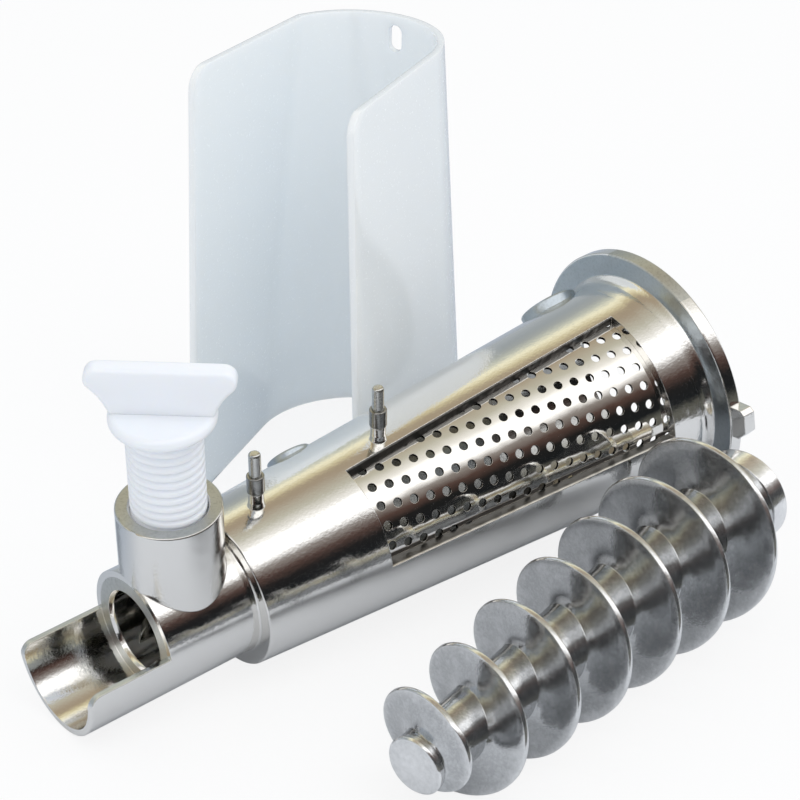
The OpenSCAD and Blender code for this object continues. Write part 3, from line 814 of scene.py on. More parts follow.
class JUICER_OT_barrel(bpy.types.Operator):
    """Build the plated barrel with its spout, boss, window, stubs and flange"""
    bl_idname = "juicer.barrel"
    bl_label = "Barrel"

    pads_at = ((74.5, 5.5, 0.8), (158, 7.5, 1.6))  # distance from the spout's tip, radius and height
    past = 2  # how far a cut reaches past the surface that it opens
    near = 0.05  # within which a face lies on a surface

    def execute(self, context):
        shape = BarrelShape()
        outside = self.outside(shape)
        body = turned("barrel", outside)
        added = [self.boss(shape), *self.stubs(shape), *self.pads(shape)]
        combine(body, [turned(*part) for part in added] + [self.lug(shape)], "UNION")
        hollows = self.hollows(shape)
        combine(body, [turned(*part) for part in hollows] + self.cuts(shape), "DIFFERENCE")
        surfaces = [(Matrix(), outside)] + [(matrix, profile) for _, profile, matrix, _ in added + hollows]
        ends = (shape.sheet_from, shape.sheet_to)
        surfaces.append((Matrix(), [(shape.pocket(s), s) for s in ends]))
        self.part_boss_from_ring(body.data, shape)
        normals = true_normals(body.data, surfaces)
        self.round_boss_flat(body.data, shape, normals)
        self.mark_depth(body.data, shape)
        self.paint(body.data, shape)
        place(body, barrel_matrix(), normals)
        hand_over(body, "barrel", "barrel_body", slot="plated_casting")
        return {"FINISHED"}

    def outside(self, shape):
        b, front, flare_at = shape.barrel, shape.front, shape.flare_at
        flare_from, flare_to = flare_at - 2.5, flare_at + 1.6
        return rounded([
            (0, 0, 0), (b.spout_r, 0, 0.3), (b.spout_r, b.cone_at, 0.5), (b.cone_r, b.cone_at, 0.45),
            (shape.cone(flare_from), flare_from, 6.0), (shape.cone(flare_at) + 0.45, flare_to, 3.0),
            (b.flare_r - 0.2, front - 0.45, 0.3), (b.flare_r, front - 0.2, 0.1), (b.flare_r, front, 0.1),
            (b.flange_r, front, 0.6), (b.flange_r, b.total, 0.6), (0, b.total, 0)])

    def boss(self, shape):
        b = shape.barrel
        profile = rounded([(0, 0, 0), (b.boss_r, 0, 0), (b.boss_r, b.boss_h, 0.5), (0, b.boss_h, 0)])
        return "boss", profile, radial(b.boss_at), 96

    def stubs(self, shape):
        """Stubs under the pins' collars, wider at the foot."""
        p = shape.pins
        r = p.collar_r - 0.25
        for s in shape.pin_places:
            foot = shape.cone(s) - 1
            top = foot + p.stub_h + 1
            profile = [(0, foot, 0), (r + 0.3, foot, 0), (r, foot + 2.4, 1.2), (r, top, 0.15), (0, top, 0)]
            yield "stub", rounded(profile), radial(s), 48

    def pads(self, shape):
        """Low round pads on the far side."""
        for s, r, h in self.pads_at:
            foot, top = 10, shape.cone(s) + h
            profile = rounded([(0, foot, 0), (r, foot, 0), (r, top, 0.5), (0, top, 0)])
            yield "pad", profile, radial(s, shape.barrel.pad_turn, math.atan(shape.slope)), 64

    def lug(self, shape):
        """Key lug on the rim, with one narrow and one wide chamfer."""
        b = shape.barrel
        foot, top, half = b.flange_r - 2, b.flange_r + b.lug_h, b.lug_w / 2
        outline = [(foot, -half), (top - 1.2, -half), (top, 1 - half), (top, half - 2.2), (top - 2.4, half),
                   (foot, half)]
        return prism("lug", outline, shape.front + 0.4, b.total - 0.01, Matrix.Rotation(b.lug_turn, 4, "Z"))

    def hollows(self, shape):
        """The turned cuts: channel and bore, spout, and the boss's drilling."""
        b, bore = shape.barrel, shape.bore
        mouth, chamfer = b.trough_len - 3, 3.8
        seat_from, seat_to, rear = shape.seat - 0.6, shape.seat + 0.9, b.total + self.past
        channel = rounded([
            (0, mouth, 0), (b.outlet_r + chamfer, mouth, 0), (b.outlet_r, mouth + chamfer, 0.7),
            (b.outlet_r, seat_from, 0), (bore(shape.seat) - 1.5, seat_from, 0),
            (bore(shape.seat), seat_to, 0.5), (bore(rear), rear, 0), (0, rear, 0)])
        spout_r, tip = b.spout_r - b.trough_wall, -self.past
        spout = [(0, tip), (spout_r, tip), (spout_r, b.trough_len), (0, b.trough_len)]
        bore_r, low, high, sink = b.boss_bore_r, -b.boss_drill, b.boss_h + self.past, 0.5
        sunk_r = bore_r + 2 * sink
        drill = [(0, low), (bore_r, low), (bore_r, b.boss_h - sink), (sunk_r, b.boss_h + sink),
                 (sunk_r, high), (0, high)]
        return [("channel", channel, Matrix(), ROUND), ("spout_bore", spout, Matrix(), ROUND),
                ("boss_bore", drill, radial(b.boss_at), 96)]

    def cuts(self, shape):
        """The other cuts: the spout's open side, the window, the strainer's pocket and the pins' holes."""
        b, q, p = shape.barrel, shape.strainer, shape.pins
        r, rim, high, tip = b.trough_corner, b.trough_rim, b.spout_r * 2, -self.past
        side = [(tip, rim - r), *arc(r, rim - r, r, 180, 90, 16), (b.trough_len, rim),
                (b.trough_len, high), (tip, high)]
        # lays an outline's x along the barrel and its y towards the boss
        side_on = Matrix(((0, 1, 0, 0), (0, 0, 1, 0), (1, 0, 0, 0), (0, 0, 0, 1)))
        half = b.spout_r + self.past
        opening = prism("trough_opening", side, -half, half,
                        Matrix.Rotation(-b.trough_turn, 4, "Z") @ side_on)
        far = 2 * b.cone_end_r
        window = prism("window", rectangle(b.window_sill, 0, far, far), 0, b.window_len,
                       Matrix.Translation((0, b.window_side, b.window_at))
                       @ Matrix.Rotation(b.window_turn, 4, "X"))
        s0, s1, inside = shape.sheet_from, shape.sheet_to, 0.5
        pocket = sector("pocket", [(shape.bore(s0) - inside, s0), (shape.pocket(s0), s0),
                                   (shape.pocket(s1), s1), (shape.bore(s1) - inside, s1)], q.first, q.last)
        hole_r, holes = p.pin_r + shape.fit, []
        for s in shape.pin_places:
            top = shape.cone(s) + p.stub_h
            low, high = top - shape.pin_depth, top + self.past
            profile = [(0, low), (hole_r, low), (hole_r, high), (0, high)]
            holes.append(turned("pin_hole", profile, radial(s), 32))
        return [opening, window, pocket, *holes]

    def ring_top(self, shape):
        """Height at which the outlet's ring meets the flat that the spout's opening leaves on the boss."""
        return shape.barrel.spout_r - 0.6

    def part_boss_from_ring(self, mesh, shape):
        """Split the faces that the boss's flat and the outlet's ring share."""
        edit = bmesh.new()
        edit.from_mesh(mesh)
        plane = shape.barrel.trough_len
        flat = [f for f in edit.faces if abs(f.calc_center_median().z - plane) < self.near]
        around = {e for f in flat for e in f.edges} | {v for f in flat for v in f.verts}
        bmesh.ops.bisect_plane(edit, geom=flat + list(around), plane_co=(self.ring_top(shape), 0, 0),
                               plane_no=(1, 0, 0))
        edit.to_mesh(mesh)
        edit.free()

    def round_boss_flat(self, mesh, shape, normals):
        """Shade the boss's flat towards the spout with its round side."""
        b, top = shape.barrel, self.ring_top(shape)
        for face in mesh.polygons:
            if abs(face.center.z - b.trough_len) < self.near and face.center.x > top:
                for loop, vertex in zip(face.loop_indices, face.vertices):
                    co = mesh.vertices[vertex].co
                    normals[loop] = tuple(Vector((0, co.y, co.z - b.boss_at)).normalized())

    def mark_depth(self, mesh, shape):
        """Each point's depth below the cone in mm, by which a painted shade darkens the window's edge
        inwards.
        """
        depth = mesh.attributes.new("edge_depth", "FLOAT", "POINT")
        for vertex, item in zip(mesh.vertices, depth.data):
            x, y, z = vertex.co
            item.value = max(0.0, shape.cone(z) - math.hypot(x, y))

    def paint(self, mesh, shape):
        """Give each face the finish of the surface that it lies on."""
        looks = ("nickel_plating", "machined_face", "cast_edge", "satin_plating", "dull_casting",
                 "dark_collar")
        mesh.materials.clear()
        for name in looks:
            mesh.materials.append(finish(name))
        for face in mesh.polygons:
            face.material_index = looks.index(self.look_at(shape, *face.center))

    def look_at(self, shape, x, y, z):
        """The finish at a place on the barrel's surface."""
        b, near, ring_top = shape.barrel, self.near, self.ring_top(shape)
        r, turn, cone = math.hypot(x, y), math.atan2(y, x), shape.cone(z)
        outlet_ring = abs(z - b.trough_len) < near and b.outlet_r < r and x < ring_top
        if outlet_ring or x > b.boss_h - 0.1:
            return "machined_face"
        beside_window = b.window_at - near < z < shape.sheet_to and 0 < turn < math.pi / 2
        if beside_window and shape.pocket(z) + near < r < cone - near:
            return "cast_edge"
        # above the outlet's ring this takes in the boss's flat, which lies inside its round side
        off_boss, flat_depth = abs(math.hypot(y, z - b.boss_at) - b.boss_r), 0.9
        if x > 3 and off_boss < (2 * near if x < ring_top else flat_depth):
            return "satin_plating"
        if abs(r - shape.bore(z)) < near + 0.01 and z > shape.seat:
            return "dark_collar"
        # the pads and the flange's front take the darker finish, a painted shade and dark reflection
        flange_front = abs(z - shape.front) < near and r > b.flare_r
        on_cone, pad_half_turn = b.cone_at < z < shape.flare_at - 1, 0.45
        if flange_front or on_cone and r > cone + near and abs(turn - b.pad_turn) < pad_half_turn:
            return "dull_casting"
        return "nickel_plating"


class JUICER_OT_strainer(bpy.types.Operator):
    """Build the perforated conical sheet behind the window"""
    bl_idname = "juicer.strainer"
    bl_label = "Strainer"

    def execute(self, context):
        shape = BarrelShape()
        b, a, q, bore = shape.barrel, shape.auger, shape.strainer, shape.bore
        slack, slack_turn, margin_turn = 0.05, 0.004, 0.14
        s0, s1 = shape.sheet_from + slack, shape.sheet_to - slack
        line_in = [(bore(s), s) for s in (s0, s1)]
        line_out = [(bore(s) + q.sheet_t, s) for s in (s0, s1)]
        section = [line_in[0], *line_out, line_in[1]]
        sheet = sector("strainer", section, q.first + slack_turn, q.last - slack_turn)
        apex = b.cone_at - bore(b.cone_at) / a.taper
        slant = math.hypot(1, a.taper)
        run_tree(sheet, self.hole_tree(), {
            "Hole radius": q.hole_d / 2, "Pitch": q.pitch, "Row pitch": q.row_pitch, "Row turn": q.row_turn,
            "Column turn": q.column_turn, "Apex": apex, "Reach": (q.pattern_at - apex) * slant,
            "Slant": slant, "Taper": a.taper, "Pattern turn": q.pattern_turn, "From": s0 + q.hole_d,
            "To": s1 - q.hole_d, "First": q.first + margin_turn, "Last": q.last - margin_turn,
            "Material": finish("polished_sheet")})
        normals = true_normals(sheet.data, [(Matrix(), line_in), (Matrix(), line_out)])
        place(sheet, barrel_matrix(), normals)
        hand_over(sheet, "barrel", "strainer_screen", material="polished_sheet", slot="polished_sheet")
        return {"FINISHED"}

    def hole_tree(self):
        """Skewed lattice laid out flat, wrapped on the cone, and cut through the sheet."""
        tree, source, v = new_tree("strainer_holes", (
            "Hole radius", "Pitch", "Row pitch", "Row turn", "Column turn", "Apex", "Reach", "Slant",
            "Taper", "Pattern turn", "From", "To", "First", "Last"))
        columns, rows = 33, 19
        grid = node(tree, "GeometryNodeMeshGrid", {
            "Size X": columns - 1, "Size Y": rows - 1, "Vertices X": columns, "Vertices Y": rows})
        i, j, _ = split_vector(tree, node(tree, "GeometryNodeInputPosition"))
        along, across = i * v["Pitch"], j * v["Row pitch"]
        x = v["Reach"] + along * v["Row turn"].op("COSINE") - across * v["Column turn"].op("SINE")
        y = along * v["Row turn"].op("SINE") + across * v["Column turn"].op("COSINE")
        far = (x * x + y * y).op("SQRT")
        s = v["Apex"] + far / v["Slant"]
        turn = v["Pattern turn"] + y.op("ARCTAN2", x) * v["Slant"] / v["Taper"]
        r = (s - v["Apex"]) * v["Taper"]
        keep = (s.op("GREATER_THAN", v["From"]) * s.op("LESS_THAN", v["To"])
                * turn.op("GREATER_THAN", v["First"]) * turn.op("LESS_THAN", v["Last"]))
        cosine, sine = turn.op("COSINE"), turn.op("SINE")
        spot = node(tree, "ShaderNodeCombineXYZ", {0: r * cosine, 1: r * sine, 2: s})
        out_way = node(tree, "ShaderNodeCombineXYZ", {0: cosine, 1: sine, 2: v["Taper"] * -1.0})
        kept = node(tree, "GeometryNodeCaptureAttribute", {"Geometry": grid})
        captured = (("VECTOR", "Way", out_way), ("FLOAT", "Keep", keep), ("VECTOR", "Spot", spot))
        for kind, label, value in captured:
            kept.capture_items.new(kind, label)
            feed(tree, value, kept.inputs[label])
        moved = node(tree, "GeometryNodeSetPosition", {
            "Geometry": kept.outputs["Geometry"], "Position": kept.outputs["Spot"]})
        aim = node(tree, "FunctionNodeAlignRotationToVector", {"Vector": kept.outputs["Way"]}, axis="Z")
        punch = node(tree, "GeometryNodeMeshCylinder", {
            "Vertices": 24, "Radius": v["Hole radius"], "Depth": 4.0})
        punches = node(tree, "GeometryNodeInstanceOnPoints", {
            "Points": moved, "Selection": kept.outputs["Keep"], "Instance": punch, "Rotation": aim})
        real = node(tree, "GeometryNodeRealizeInstances", {"Geometry": punches})
        cut = node(tree, "GeometryNodeMeshBoolean", {0: source.outputs["Geometry"], 1: real},
                   operation="DIFFERENCE", solver="MANIFOLD")
        end_tree(tree, source, cut)
        return tree


class JUICER_OT_pins(bpy.types.Operator):
    """Build the two round-ended pins and their collars"""
    bl_idname = "juicer.pins"
    bl_label = "Pins"

    def execute(self, context):
        shape = BarrelShape()
        p, hole = shape.pins, shape.pins.pin_r + shape.fit
        for which, s in zip(("front", "rear"), shape.pin_places):
            matrix, base = barrel_matrix() @ radial(s), shape.cone(s)
            foot, top = base + p.stub_h - shape.pin_depth + shape.fit, base + p.pin_h
            pin = turned_piece(which + "_pin", rounded([
                (0, foot, 0), (p.pin_r, foot, 0.1), (p.pin_r, top, 0.9), (0, top, 0)]), matrix, 40)
            hand_over(pin, "barrel", which + "_cover_pin", material="turned_steel", slot="pin_steel")
            low = base + p.stub_h + shape.fit
            high = low + p.collar_len
            collar = turned_piece(which + "_collar", rounded([
                (hole, low, 0), (p.collar_r, low, 0.3), (p.collar_r, high, 0.35), (hole, high, 0.1),
                (hole, low, 0)]), matrix, 40)
            hand_over(collar, "barrel", which + "_pin_collar", material="dark_collar", slot="collar_steel")
        return {"FINISHED"}


class JUICER_OT_screw(bpy.types.Operator):
    """Build the adjusting screw: threaded shank, disc and wing"""
    bl_idname = "juicer.screw"
    bl_label = "Adjusting screw"

    def execute(self, context):
        b, w = sizes("barrel"), sizes("screw")
        matrix = barrel_matrix() @ radial(b.boss_at)
        low = b.boss_h + w.out
        high = low + w.disc_t
        into_disc, edge = 0.5, w.disc_t * 0.48
        shank = mesh_object("screw_shank", [], [])
        run_tree(shank, self.thread_tree(), {
            "Radius": w.thread_r, "Depth": w.thread_depth, "Pitch": w.pitch, "Length": w.shank + into_disc,
            "Base": low - w.shank, "Material": finish("screw_plastic")})
        point_out(shank)
        place(shank, matrix)
        soften(shank, 50)
        disc = turned_piece("screw_disc", rounded([
            (0, low, 0), (w.disc_r, low, edge), (w.disc_r, high, edge), (0, high, 0)]), matrix, 96)
        wing = self.wing(w, high)
        place(wing, matrix)
        soften(wing, 60)
        for piece in (shank, disc, wing):
            hand_over(piece, "adjusting_screw", material="screw_plastic", slot="screw_plastic")
        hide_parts("adjusting_screw")
        return {"FINISHED"}

    def wing(self, w, base):
        """Plate with hollow flanks that run out to round ends."""
        end = arc(w.wing_w / 2 - w.wing_r, w.wing_h - w.wing_r, w.wing_r, -42, 90, 12)
        foot, sink = w.disc_r - 0.4, 0.8
        side = [(foot, -sink), (foot + 0.15, 0.3)]
        for t in (0.25, 0.5, 0.75):
            sag = 0.55 * math.sin(math.pi * t)
            side.append((foot + (end[0][0] - foot) * t - sag * 0.3, end[0][1] * t + sag))
        side += end
        outline = side + [(-x, y) for x, y in side[::-1]]
        turn = (Matrix.Translation((0, 0, base)) @ Matrix.Rotation(w.wing_turn, 4, "Z")
                @ Matrix.Rotation(math.pi / 2, 4, "X"))
        wing = prism("screw_wing", outline, -w.wing_t / 2, w.wing_t / 2, turn)
        round_edges(wing, 1.5, 4, 60)
        return wing

    def thread_tree(self):
        """Cylinder whose radius follows a helical ridge: wide flat lands with narrow grooves."""
        tree, source, v = new_tree("screw_thread", ("Radius", "Depth", "Pitch", "Length", "Base"))
        tube = node(tree, "GeometryNodeMeshCylinder", {
            "Vertices": 96, "Side Segments": 230, "Radius": 1.0, "Depth": v["Length"]}, fill_type="NGON")
        x, y, z = split_vector(tree, node(tree, "GeometryNodeInputPosition"))
        along = z + v["Length"] * 0.5
        phase = (along / v["Pitch"] + y.op("ARCTAN2", x) / (2 * math.pi)).op("FRACT")
        # 1 in the middle of the groove, 0 on the land
        off = ((phase - 0.5).op("ABSOLUTE") * -1.0 + 0.5) * 2.0
        groove = off.mapped(0.6, 0.0, interpolation_type="SMOOTHSTEP")
        lead_in = along.mapped(0.0, 0.9, 0.9, 0.0)
        r = v["Radius"] - groove * v["Depth"] - lead_in
        spot = node(tree, "ShaderNodeCombineXYZ", {0: x * r, 1: y * r, 2: along + v["Base"]})
        end_tree(tree, source, node(tree, "GeometryNodeSetPosition", {"Geometry": tube, "Position": spot}))
        return tree


def ease(x):
    x = np.clip(x, 0, 1)
    return x * x * (3 - 2 * x)


class JUICER_OT_auger(bpy.types.Operator):
    """Build the tapered auger with its left-handed flight, pin, hub and socket"""
    bl_idname = "juicer.auger"
    bl_label = "Auger"

    # counted in turns of the flight
    start, run_in, out_from, out_to = 0.04, 0.42, 6.74, 6.98
    stations = 72  # in each turn
    first_turn = math.radians(-94.5)  # where the flight starts round the core
    first_rise = -3.4  # mm from the pin's end, where the lead's law starts
    # half the flight's section, from its foot to its crest: mm from the middle, share of the height
    flank = ((2.7, -0.12), (2.3, 0.03), (1.9, 0.10), (1.5, 0.22), (1.2, 0.38), (1.0, 0.55), (0.84, 0.76),
             (0.72, 0.93), (0.58, 0.985), (0.3, 1.0))
    run_in_lead = 0.2  # share of the lead that the run-in has
    thinnest = 0.25  # share of the section's width at the flight's two ends
    off_pin = 0.15  # how far the flight stays off the pin's shoulder
    foot_sunk, sunk = 0.6, 0.02  # how deep the foot and the rest are let into the core
    # the core swells before the hub: share of the step up to it, distance from it and length
    swell, swell_from, swell_len = 0.8, 14, 10

    def execute(self, context):
        a = sizes("auger")
        core_end, edge = a.total - a.hub_len, 0.4

        def core(u):
            share = np.minimum(1, u / core_end)
            swollen = self.swell * ease((u - core_end + self.swell_from) / self.swell_len)
            return a.core_r + (a.core_end_r - a.core_r) * share + (a.hub_r - a.core_end_r) * swollen

        profile = [(0, 0), (a.pin_r - edge, 0), (a.pin_r, edge), (a.pin_r, a.pin_len)]
        profile += [(core(u), u) for u in np.linspace(a.pin_len, core_end, 60)]
        profile += [(a.hub_r, core_end), (a.hub_r, a.total - edge), (a.hub_r - edge, a.total), (0, a.total)]
        auger = turned("auger", profile, segments=96)
        half = a.socket_w / 2
        socket = prism("socket", rectangle(-half, -half, half, half), a.total - a.socket_depth, a.total + 1)
        combine(auger, [self.flight(a, core)], "UNION")
        combine(auger, [socket], "DIFFERENCE")
        place(auger, auger_matrix())
        soften(auger, 42)
        hand_over(auger, "auger", "auger", material="tinned_casting", slot="auger_casting")
        return {"FINISHED"}

    def flight(self, a, core):
        """Closed band round the core: run-in, seven turns with growing lead, run-out."""
        t = self.start + np.arange(int(a.turns * self.stations)) / self.stations

        def rise(turns):
            return self.first_rise + a.lead * turns + a.lead_growth / 2 * turns ** 2

        eased = rise(self.run_in) - (self.run_in - t) * a.lead * self.run_in_lead
        crest = np.where(t < self.run_in, eased, rise(t))
        grow = (ease((t - self.start) / (self.run_in - self.start))
                * (1 - ease((t - self.out_from) / (self.out_to - self.out_from))))
        angles = 2 * np.pi * t + self.first_turn
        loop = [(-x, share) for x, share in self.flank] + list(self.flank[::-1])
        sections = []
        for middle, height, angle in zip(crest, grow, angles):
            section = []
            for x, share in loop:
                u = max(a.pin_len + self.off_pin, middle + x * max(self.thinnest, height))
                full = a.small_r + u * a.taper
                sunk = self.foot_sunk if share < 0 else self.sunk
                r = core(u) + (full - core(u)) * height * max(0.0, share) - sunk
                section.append((r * math.sin(angle), r * math.cos(angle), u))
            sections.append(section)
        return swept("flight", sections)


class JUICER_OT_cover(bpy.types.Operator):
    """Build the U-shaped splash cover with its slots"""
    bl_idname = "juicer.cover"
    bl_label = "Splash cover"

    lean = (1, 0.83)  # how far the small end sits back and to one side, by the difference in radius

    def execute(self, context):
        c, square = sizes("cover"), math.pi / 2
        shift = np.array(self.lean) * (c.foot_r - c.top_r)
        end = [x for x, _ in arc(c.corner, 0, c.corner, 180, 90, 11)]
        between = np.linspace(c.corner, c.height - c.corner, 22)[1:-1]
        levels = [*end, *between, *(c.height - x for x in end[::-1])]
        rows = []
        for z in levels:
            trim = self.trim(c.corner, min(z, c.height - z))
            foot = self.path(c.foot_r, c.foot_reach, c.foot_reach, c.foot_mouth, square + c.wrap,
                             -square - c.wrap, c.wall, trim)
            head = self.path(c.top_r, c.left_reach, c.right_reach, c.top_mouth, c.bend,
                             -square, c.wall, trim)
            rows.append([(x, y, z) for x, y in foot + (head + shift - foot) * z / c.height])
        n = len(rows[0])
        faces = [(i * n + j, i * n + j + 1, (i + 1) * n + j + 1, (i + 1) * n + j)
                 for i in range(len(rows) - 1) for j in range(n - 1)]
        cover = mesh_object("splash_cover_shell", [point for row in rows for point in row], faces)
        wall = cover.modifiers.new("wall", "SOLIDIFY")
        wall.thickness, wall.offset, wall.use_even_offset = c.wall, 0, True
        settle(cover)
        point_out(cover)
        straight, r, slots = (c.slot_len - c.slot_w) / 2, c.slot_w / 2, []
        outline = [*arc(straight, 0, r, -90, 90, 16), *arc(-straight, 0, r, 90, 270, 16)]
        inside, through = 10, 30
        for down in (c.slot_at, c.slot_at + sizes("pins").gap):
            z = c.height - down
            spot = (c.top_r - inside, shift[1] * z / c.height + c.slot_side, z)
            matrix = Matrix.Translation(spot) @ Matrix.Rotation(square, 4, "Y")
            slots.append(prism("slot", outline, 0, through, matrix))
        combine(cover, slots, "DIFFERENCE")
        round_edges(cover, 0.7, 3, 55)
        place(cover, cover_matrix())
        soften(cover, 35)
        hand_over(cover, "cover", "splash_cover", material="cover_plastic", slot="cover_plastic")
        return {"FINISHED"}

    def trim(self, corner, end):
        """How far the mouth's edge draws back at a height above or below the cover's ends."""
        return corner - math.sqrt(max(0.0, corner ** 2 - (corner - end) ** 2)) if end < corner else 0.0

    def path(self, r, left, right, mouth, first, last, wall, trim):
        """Middle line of the section: left wall, back arc and right wall, short of the mouth by trim."""
        wall_steps, arc_steps = 12, 60
        r, mouth = r - wall / 2, mouth - wall / 2
        turn = first + (last - first) * np.linspace(0, 1, arc_steps + 1)
        back = np.stack([r * np.cos(turn), r * np.sin(turn)], 1)
        share = np.linspace(0, 1, wall_steps, endpoint=False)[:, None]
        rows = []
        for start, reach, side in ((back[0], left, 1), (back[-1], right, -1)):
            end = np.array((-reach, side * mouth))
            end = end + (start - end) * trim / (start[0] + reach)
            rows.append(end + (start - end) * share)
        return np.concatenate([rows[0], back, rows[1][::-1]])


class JUICER_OT_stage(bpy.types.Operator):
    """Set the camera, the floor, the lamp and the studio round the object"""
    bl_idname = "juicer.stage"
    bl_label = "Stage"

    # the floor's corner nearest the camera and the one across from it, in metres
    floor_near, floor_far = (-0.9, -0.125), (1.2, 1.8)
    lamp_at, lamp_size = (0.1, -0.35, 0.75), 0.5
    # what metal mirrors round the barrel's line, by degrees from straight up towards the front
    bands = (
        (-180, (0.30, 0.34, 0.40)), (-118, (0.36, 0.43, 0.52)), (-90, (0.46, 0.50, 0.53)),
        (-70, (0.38, 0.42, 0.44)), (-58, (0.42, 0.45, 0.44)), (-49, (0.62, 0.64, 0.55)),
        (-41, (1.10, 1.05, 0.78)), (-33, (0.75, 0.66, 0.42)), (-26, (0.44, 0.36, 0.25)),
        (-18, (0.44, 0.36, 0.26)), (2, (0.62, 0.60, 0.50)), (16, (1.05, 1.03, 0.98)),
        (24, (1.6, 1.6, 1.6)), (40, (1.6, 1.6, 1.6)), (50, (0.33, 0.30, 0.28)),
        (62, (0.10, 0.06, 0.05)), (74, (0.015, 0.015, 0.015)), (90, (0.012, 0.014, 0.016)),
        (100, (0.14, 0.14, 0.12)), (120, (0.10, 0.10, 0.10)), (140, (0.40, 0.42, 0.44)),
        (180, (0.30, 0.34, 0.40)))

    def execute(self, context):
        s = context.scene.juicer_stage
        self.camera(context, s)
        self.floor()
        self.lamp(context, s.key_power)
        self.world(context)
        context.scene.view_settings.view_transform = "Standard"
        return {"FINISHED"}

    def camera(self, context, s):
        yaw, pitch, roll = s.camera_yaw, s.camera_pitch, s.camera_roll
        level = math.cos(pitch)
        forward = Vector((math.sin(yaw) * level, math.cos(yaw) * level, -math.sin(pitch)))
        right = Vector((math.cos(yaw), -math.sin(yaw), 0))
        up = right.cross(forward)
        right, up = (right * math.cos(roll) + up * math.sin(roll),
                     up * math.cos(roll) - right * math.sin(roll))
        camera = bpy.data.objects.new("camera", bpy.data.cameras.new("camera"))
        camera.data.lens, camera.data.sensor_width = s.lens, 36.0
        camera.data.clip_start, camera.data.clip_end = 0.05, 20.0
        rows = Matrix((right, up, -forward)).transposed().to_4x4()
        camera.matrix_world = Matrix.Translation((s.camera_x, s.camera_y, s.camera_z)) @ rows
        context.scene.collection.objects.link(camera)
        context.scene.camera = camera

    def seen(self, tree, path):
        """1 for rays that show the studio itself, straight or through clear plastic."""
        return Field(tree, path.outputs["Is Camera Ray"]) + Field(tree, path.outputs["Is Transmission Ray"])

    def floor(self):
        """Pale floor whose colour in reflections is painted darker and bluer towards the back, nearly white
        where it is seen.
        """
        corners = rectangle(*self.floor_near, *self.floor_far)
        floor = mesh_object("floor", [(x, y, 0) for x, y in corners], [(0, 1, 2, 3)])
        material = bpy.data.materials.new("pale_floor")
        material.use_nodes = True
        tree = material.node_tree
        path = node(tree, "ShaderNodeLightPath")
        _, y, _ = split_vector(tree, node(tree, "ShaderNodeTexCoord").outputs["Object"])
        # painted reflection: glossy rays see the floor painted darker and bluer from its front to its back,
        # a painted shade in what the metal mirrors
        painted_reflection_tone = blend(tree, y.mapped(0.0, 0.06), (0.80, 0.82, 0.85), (0.48, 0.53, 0.60))
        floor_tone_with_painted_reflection = blend(tree, path.outputs["Is Glossy Ray"], (0.93, 0.94, 0.95), painted_reflection_tone)
        shader = tree.nodes["Principled BSDF"]
        shader.inputs["Roughness"].default_value = 0.7
        feed(tree, floor_tone_with_painted_reflection, shader.inputs["Base Color"])
        light = node(tree, "ShaderNodeEmission", {"Color": (1, 1, 1, 1), "Strength": 1.0})
        mixed = node(tree, "ShaderNodeMixShader", {0: self.seen(tree, path) * 0.85, 1: shader, 2: light})
        feed(tree, mixed, tree.nodes["Material Output"].inputs["Surface"])
        floor.data.materials.append(material)

    def lamp(self, context, power):
        """Soft lamp above the object, which isn't mirrored in it."""
        lamp = bpy.data.lights.new("key", "AREA")
        lamp.size, lamp.energy = self.lamp_size, power
        obj = bpy.data.objects.new("key", lamp)
        obj.location = self.lamp_at
        obj.rotation_mode = "QUATERNION"
        obj.rotation_quaternion = (Vector((0, 0, 0.03)) - Vector(self.lamp_at)).to_track_quat("-Z", "Y")
        obj.visible_glossy = False
        context.scene.collection.objects.link(obj)

    def world(self, context):
        """White where it is seen, soft bands round the barrel's line for gloss, and plain light else."""
        world = bpy.data.worlds.new("studio")
        context.scene.world = world
        world.use_nodes = True
        tree = world.node_tree
        tree.nodes.clear()
        _, y, z = split_vector(tree, node(tree, "ShaderNodeTexCoord").outputs["Generated"])
        around = (y * -1.0).op("ARCTAN2", z) / (2 * math.pi) + 0.5
        ramp = node(tree, "ShaderNodeValToRGB", {"Fac": around})
        stops = ramp.color_ramp.elements
        for index, (degrees, colour) in enumerate(self.bands):
            where = degrees / 360 + 0.5
            stop = stops[index] if index < 2 else stops.new(where)
            stop.position, stop.color = where, (*colour, 1)
        path = node(tree, "ShaderNodeLightPath")
        plain = node(tree, "ShaderNodeBackground", {"Color": (0.95, 0.97, 1.0, 1), "Strength": 0.88})
        gloss = node(tree, "ShaderNodeBackground", {"Color": ramp, "Strength": 1.0})
        white = node(tree, "ShaderNodeBackground", {"Color": (1, 1, 1, 1), "Strength": 1.0})
        lit = node(tree, "ShaderNodeMixShader", {0: path.outputs["Is Glossy Ray"], 1: plain, 2: gloss})
        shown = node(tree, "ShaderNodeMixShader", {0: self.seen(tree, path), 1: lit, 2: white})
        feed(tree, shown, node(tree, "ShaderNodeOutputWorld").inputs["Surface"])


class JUICER_PT_panel(bpy.types.Panel):
    """Buttons for the pieces, in the 3D view's sidebar"""
    bl_idname = "JUICER_PT_panel"
    bl_label = "Juicer attachment"
    bl_space_type = "VIEW_3D"
    bl_region_type = "UI"
    bl_category = "Juicer"

    def draw(self, context):
        for operator in PIECES:
            self.layout.operator(operator.bl_idname)


PIECES = (JUICER_OT_barrel, JUICER_OT_strainer, JUICER_OT_pins, JUICER_OT_screw, JUICER_OT_auger,
          JUICER_OT_cover, JUICER_OT_stage)


def register():
    for name, group in GROUPS:
        bpy.utils.register_class(group)
        setattr(bpy.types.Scene, name, PointerProperty(type=group))
    for item in (*PIECES, JUICER_PT_panel):
        bpy.utils.register_class(item)


def unregister():
    for item in (JUICER_PT_panel, *reversed(PIECES)):
        bpy.utils.unregister_class(item)
    for name, group in reversed(GROUPS):
        delattr(bpy.types.Scene, name)
        bpy.utils.unregister_class(group)


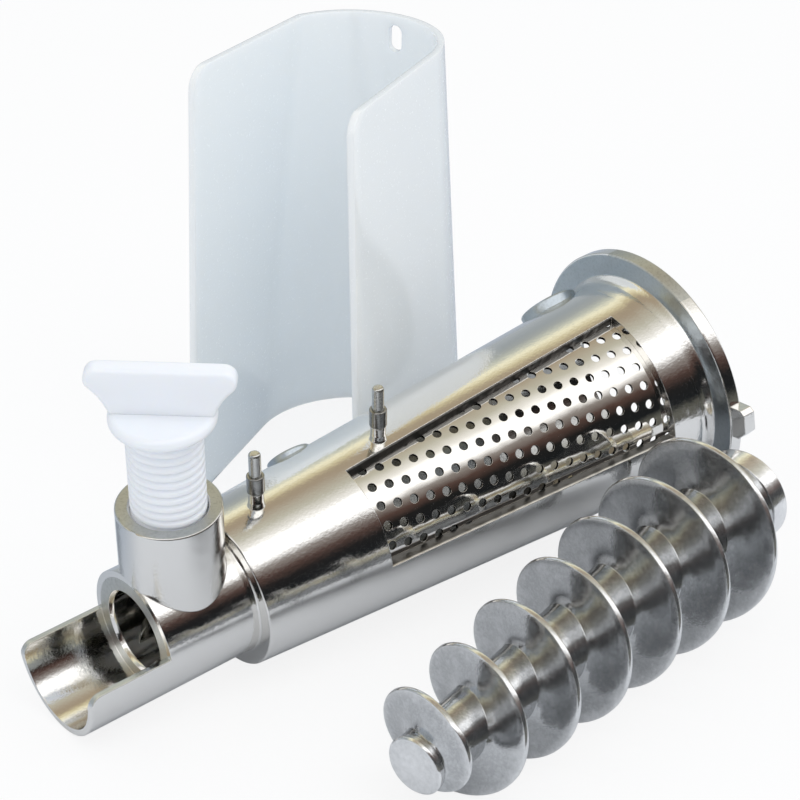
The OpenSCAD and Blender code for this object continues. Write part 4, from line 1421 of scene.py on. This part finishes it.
def main():
    register()
    bpy.ops.juicer.barrel()
    bpy.ops.juicer.strainer()
    bpy.ops.juicer.pins()
    bpy.ops.juicer.screw()
    bpy.ops.juicer.auger()
    bpy.ops.juicer.cover()
    bpy.ops.juicer.stage()


if __name__ == "__main__":
    main()
